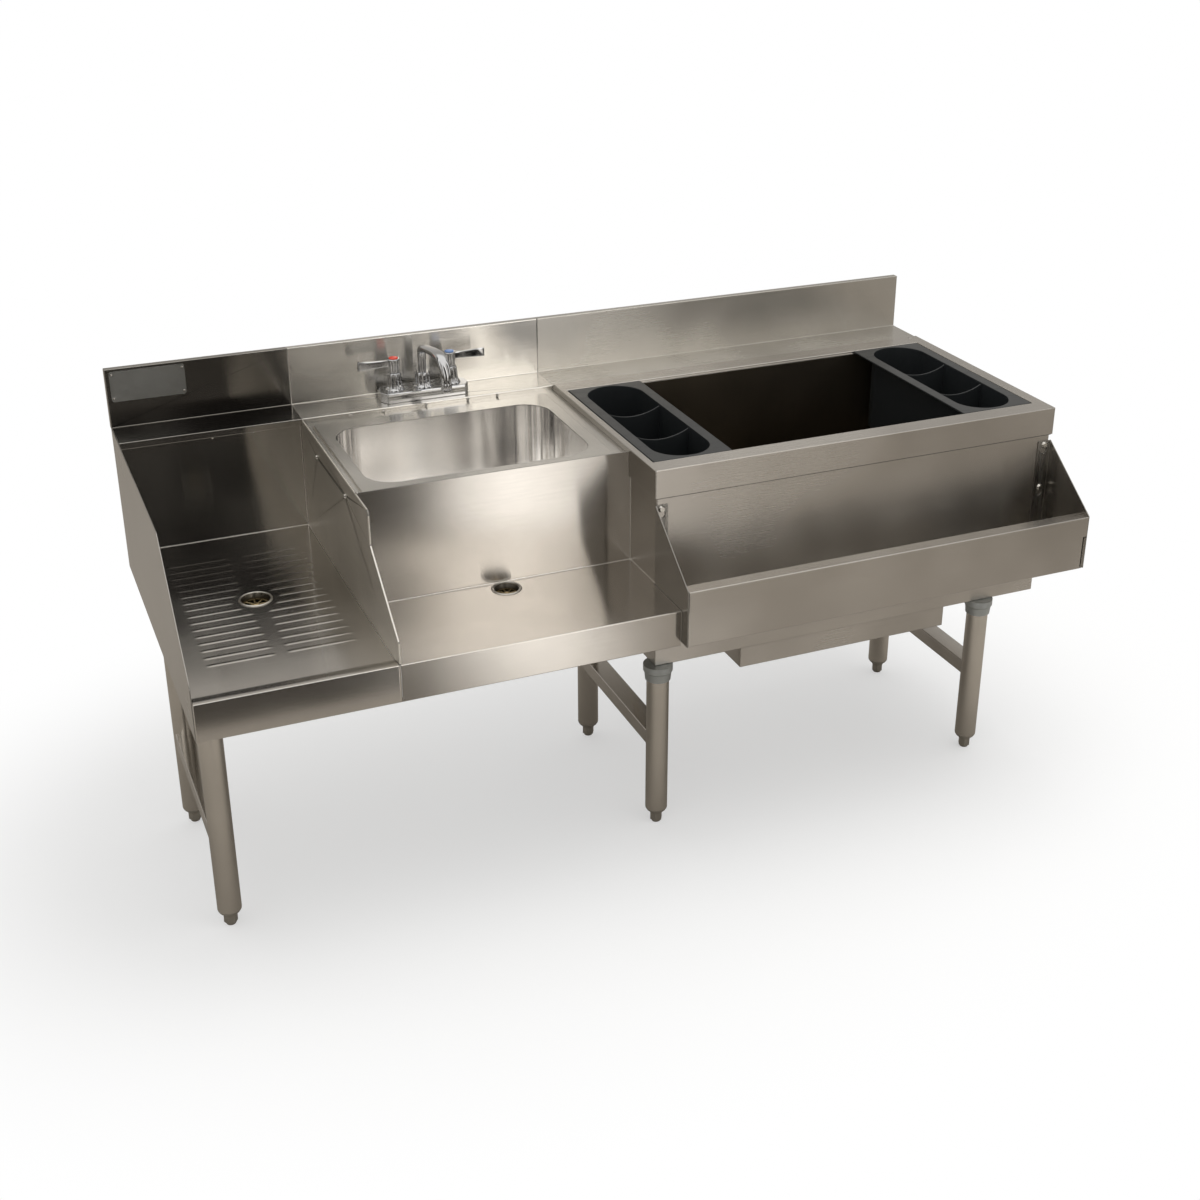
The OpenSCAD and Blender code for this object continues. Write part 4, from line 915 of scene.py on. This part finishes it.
def make_small_details():
    mesh = bmesh.new()
    # a near-black strip along the band's lower edge: painted shadow of the band on the shell
    block(mesh, (764.5, SHELL_FRONT + 0.1, BAND_LOW - 1.2), (1520.5, BAND_FRONT - 0.9, BAND_LOW))
    add_detail(mesh, "band_painted_shadow", PAINTED_SHADOW, "bench")
    mesh = bmesh.new()
    block(mesh, (765.0, RAIL_FRONT - 0.5, RAIL_FOLD), (1519.5, RAIL_FRONT + 0.25, RAIL_TOP - 2.6),
          0.12)
    add_detail(mesh, "rail_hem", STEEL_MAIN, body_of["rail_trough"])
    mesh = bmesh.new()
    # the lap's dark steel is painted shade
    block(mesh, (1516.0, RAIL_FRONT - 0.5, RAIL_BOTTOM + 2), (1521.6, RAIL_FRONT + 0.2, 468.0), 0.15)
    add_detail(mesh, "rail_end_lap", STEEL_END_PAINTED_SHADE, body_of["rail_trough"])
    mesh = bmesh.new()
    for seed, x in enumerate((388, 447, 523, 600, 655)):
        weld_lump(mesh, at(x, 80.2, 655.5), (2.6, 1.6, 2.4), None, seed)
        weld_lump(mesh, at(x + 1, 83.0, 658.2), (2.0, 3.0, 0.7), None, seed + 0.5)
    weld_lump(mesh, at(307.5, 427.5, 658.5), (3.0, 3.0, 1.6), None, 7.0)
    weld_lump(mesh, at(1504.6, 91.7, RIM_Z), (3.0, 3.4, 1.1), None, 9.0)
    for x in (153.4, 223.4):
        weld_lump(mesh, at(x, RISER_D, 644.0), (1.8, 0.9, 1.8), None, x)
    add_detail(mesh, "tack_welds", STEEL_BEAD, "bench")
    mesh = bmesh.new()
    for x in (11.0, 126.0):
        for z in (711.0, 752.0):
            front = at(x, 0.0, z)
            front.y = plate_low[1] + 0.02 * MM
            rivet(mesh, front, AHEAD, 1.7, 0.55)
    add_detail(mesh, "plate_rivets", STEEL_SMALL, "bench")


# ---------------------------------------------------------------- studio
FLOOR_COLOR = (0.92, 0.92, 0.915)
FLOOR_MIRRORED = (0.40, 0.365, 0.32)
FLOOR_FRONT = -0.95


def make_floor():
    mesh = bpy.data.meshes.new("floor")
    corners = [(-9, FLOOR_FRONT), (9, FLOOR_FRONT), (9, 16), (-9, 16)]
    mesh.from_pydata([(x, y, FLOOR_Z) for x, y in corners], [], [(0, 1, 2, 3)])
    floor = bpy.data.objects.new("floor", mesh)
    bpy.context.scene.collection.objects.link(floor)
    material, g = new_material("floor_paper")
    # away from the bench the paper fades to the white of the room behind it
    place = g.add("ShaderNodeNewGeometry").outputs["Position"]
    away = g.add("ShaderNodeVectorMath", {0: place, 1: (0.62, 1.0, 1.0)}, operation="MULTIPLY")
    length = g.add("ShaderNodeVectorMath", {0: away.outputs[0]}, operation="LENGTH")
    far = g.spread(length.outputs["Value"], 0.55, 0.95)
    light = g.add("ShaderNodeLightPath")
    far = g.math("MULTIPLY_ADD", far, 0.55, 0.45)
    far = g.math("MULTIPLY", far, light.outputs["Is Camera Ray"])
    # polished metal mirrors a greyer floor than the paper the bench is shown on
    color = g.mix(light.outputs["Is Glossy Ray"], FLOOR_COLOR, FLOOR_MIRRORED)
    paper = g.add("ShaderNodeBsdfDiffuse", {"Color": color})
    white = g.add("ShaderNodeEmission", {"Color": (1, 1, 1), "Strength": 1.0})
    close(g, g.add("ShaderNodeMixShader", {0: far, 1: paper, 2: white}))
    mesh.materials.append(material)


def area_lamp(name, place, aim, size, size_y, power, color=(1, 1, 1)):
    lamp = bpy.data.lights.new(name, "AREA")
    lamp.shape = "RECTANGLE"
    lamp.size, lamp.size_y = size, size_y
    lamp.energy = power
    lamp.color = color
    ob = bpy.data.objects.new(name, lamp)
    bpy.context.scene.collection.objects.link(ob)
    ob.location = place
    ob.rotation_euler = (Vector(aim) - Vector(place)).to_track_quat("-Z", "Y").to_euler()
    ob.visible_glossy = False
    return ob


def make_world():
    """A white room seen from the front; the side where the camera stands is a studio."""
    world = bpy.data.worlds.new("studio")
    bpy.context.scene.world = world
    world.use_nodes = True
    g = Graph(world.node_tree)
    split = g.add("ShaderNodeSeparateXYZ", {0: g.add("ShaderNodeTexCoord").outputs["Generated"]})
    x, y, z = split.outputs
    # turn to the right of straight ahead, as 0 to 1 for -180 to 180 degrees
    turn = g.math("ARCTAN2", x, g.math("MULTIPLY", y, -1.0))
    turn = g.math("MULTIPLY_ADD", turn, 0.5 / math.pi, 0.5)

    def stop(degrees, level, tint):
        return (degrees / 360 + 0.5, tuple(level / 3.0 * c for c in tint))

    cool, room, brown = (1, 0.97, 0.935), (1, 0.955, 0.89), (1, 0.895, 0.765)
    upper = g.ramp(turn, [stop(*entry) for entry in (
        (-128, 0.50, room), (-124, 0.03, room), (-112, 0.03, room),
        (-108, 1.7, cool), (-96, 1.7, cool), (-92, 0.10, room), (-80, 0.10, room),
        (-76, 0.9, room), (-62, 0.9, room), (-58, 0.03, room), (-46, 0.03, room),
        (-42, 1.5, cool), (-34, 1.5, cool), (-30, 0.62, room), (-12.5, 0.66, room),
        (-10.5, 0.16, room), (-9, 0.02, room), (14.6, 0.03, room), (16.0, 1.5, room), (17.2, 3.0, cool),
        (19.8, 3.0, cool), (21.5, 1.2, room), (26, 0.78, room), (44, 0.62, room),
        (56, 0.03, room), (68, 0.03, room), (72, 1.5, cool), (84, 1.5, cool), (88, 0.05, room),
        (98, 0.05, room), (102, 0.50, room))])
    lower = g.ramp(turn, [stop(*entry) for entry in (
        (-150, 0.34, brown), (-70, 0.28, brown), (-58, 0.02, brown), (-46, 0.02, brown),
        (-42, 1.0, room), (-34, 1.0, room), (-30, 0.22, brown), (-10, 0.09, brown), (9, 0.06, brown),
        (15.4, 0.06, brown), (17.0, 1.0, room), (18.0, 2.3, cool), (20.4, 2.3, cool), (21.6, 0.85, room),
        (25, 0.40, brown), (34, 0.34, brown), (46, 0.32, brown),
        (56, 0.03, brown), (68, 0.03, brown), (72, 1.0, room), (84, 0.9, room), (90, 0.3, brown),
        (150, 0.36, brown))])
    rise = g.spread(z, -0.10, 0.10)
    seen = g.mix(rise, lower, upper)
    high = g.spread(z, 0.66, 0.90)
    seen = g.mix(high, seen, (0.40, 0.392, 0.378))
    warm = g.mix(1.0, seen, (3.0, 3.0, 3.0), "MULTIPLY")
    light = g.add("ShaderNodeLightPath")
    camera = light.outputs["Is Camera Ray"]
    shown = g.mix(camera, warm, (1, 1, 1))
    looked_at = g.math("MAXIMUM", camera, g.math("MAXIMUM", light.outputs["Is Glossy Ray"],
                                                 light.outputs["Is Transmission Ray"]))
    final = g.mix(looked_at, (0.74, 0.74, 0.735), shown)
    background = g.add("ShaderNodeBackground", {"Color": final, "Strength": 1.0})
    g.add("ShaderNodeOutputWorld", {"Surface": background.outputs[0]})


def make_camera():
    data = bpy.data.cameras.new("camera")
    data.lens = 49.96
    data.sensor_width = 36.0
    data.shift_x = -0.0286
    data.shift_y = -0.0407
    data.clip_end = 100
    camera = bpy.data.objects.new("camera", data)
    bpy.context.scene.collection.objects.link(camera)
    back = -Vector((0.3645, 0.8318, -0.4187)).normalized()
    right = Vector((0.917, -0.399, 0.0056)).normalized()
    up = back.cross(right).normalized()
    right = up.cross(back)
    turn = Matrix((right, up, back)).transposed().to_4x4()
    camera.matrix_world = Matrix.Translation(at(-246.6, 2749.7, 1646.2)) @ turn
    bpy.context.scene.camera = camera


SHEET_NODES = ["splash_left", "splash_middle", "splash_right", "left_end_panel", "left_divider",
               "sink_deck", "sink_apron", "sink_shelf", "bin_rim", "bin_shell", "rail_trough",
               "rail_end_left", "rail_end_right", "cross_rail_left", "cross_rail_middle",
               "cross_rail_right", "cold_plate_housing", "faucet_body"]
for sheet_node in SHEET_NODES:
    soften(sheet_node)
for well in ("bottle_well_left", "bottle_well_right"):
    soften(well, bend=1.2, rim=1.0, sheet=0.5)

make_drainboard()
make_spout()
make_valves()
make_lever("hot_lever", VALVE_X[0], -1)
make_lever("cold_lever", VALVE_X[1], 1)
make_buttons()
make_waste("drainboard_drain", DRAIN_X, DRAIN_D, FLOOR_TOP, 27, 21, 19.05, 32, 30, True)
make_waste("shelf_drain", 535, 452.5, FRONT_TOP, 25, 18, 16, 32, 30, True)

make_corners()
make_seam_welds()
make_small_details()

make_floor()
make_world()
area_lamp("overhead", (0.7, -0.2, 2.9), (0.5, 0.0, 0.5), 2.4, 2.4, 42)
make_camera()
bpy.context.scene.view_settings.view_transform = "Standard"
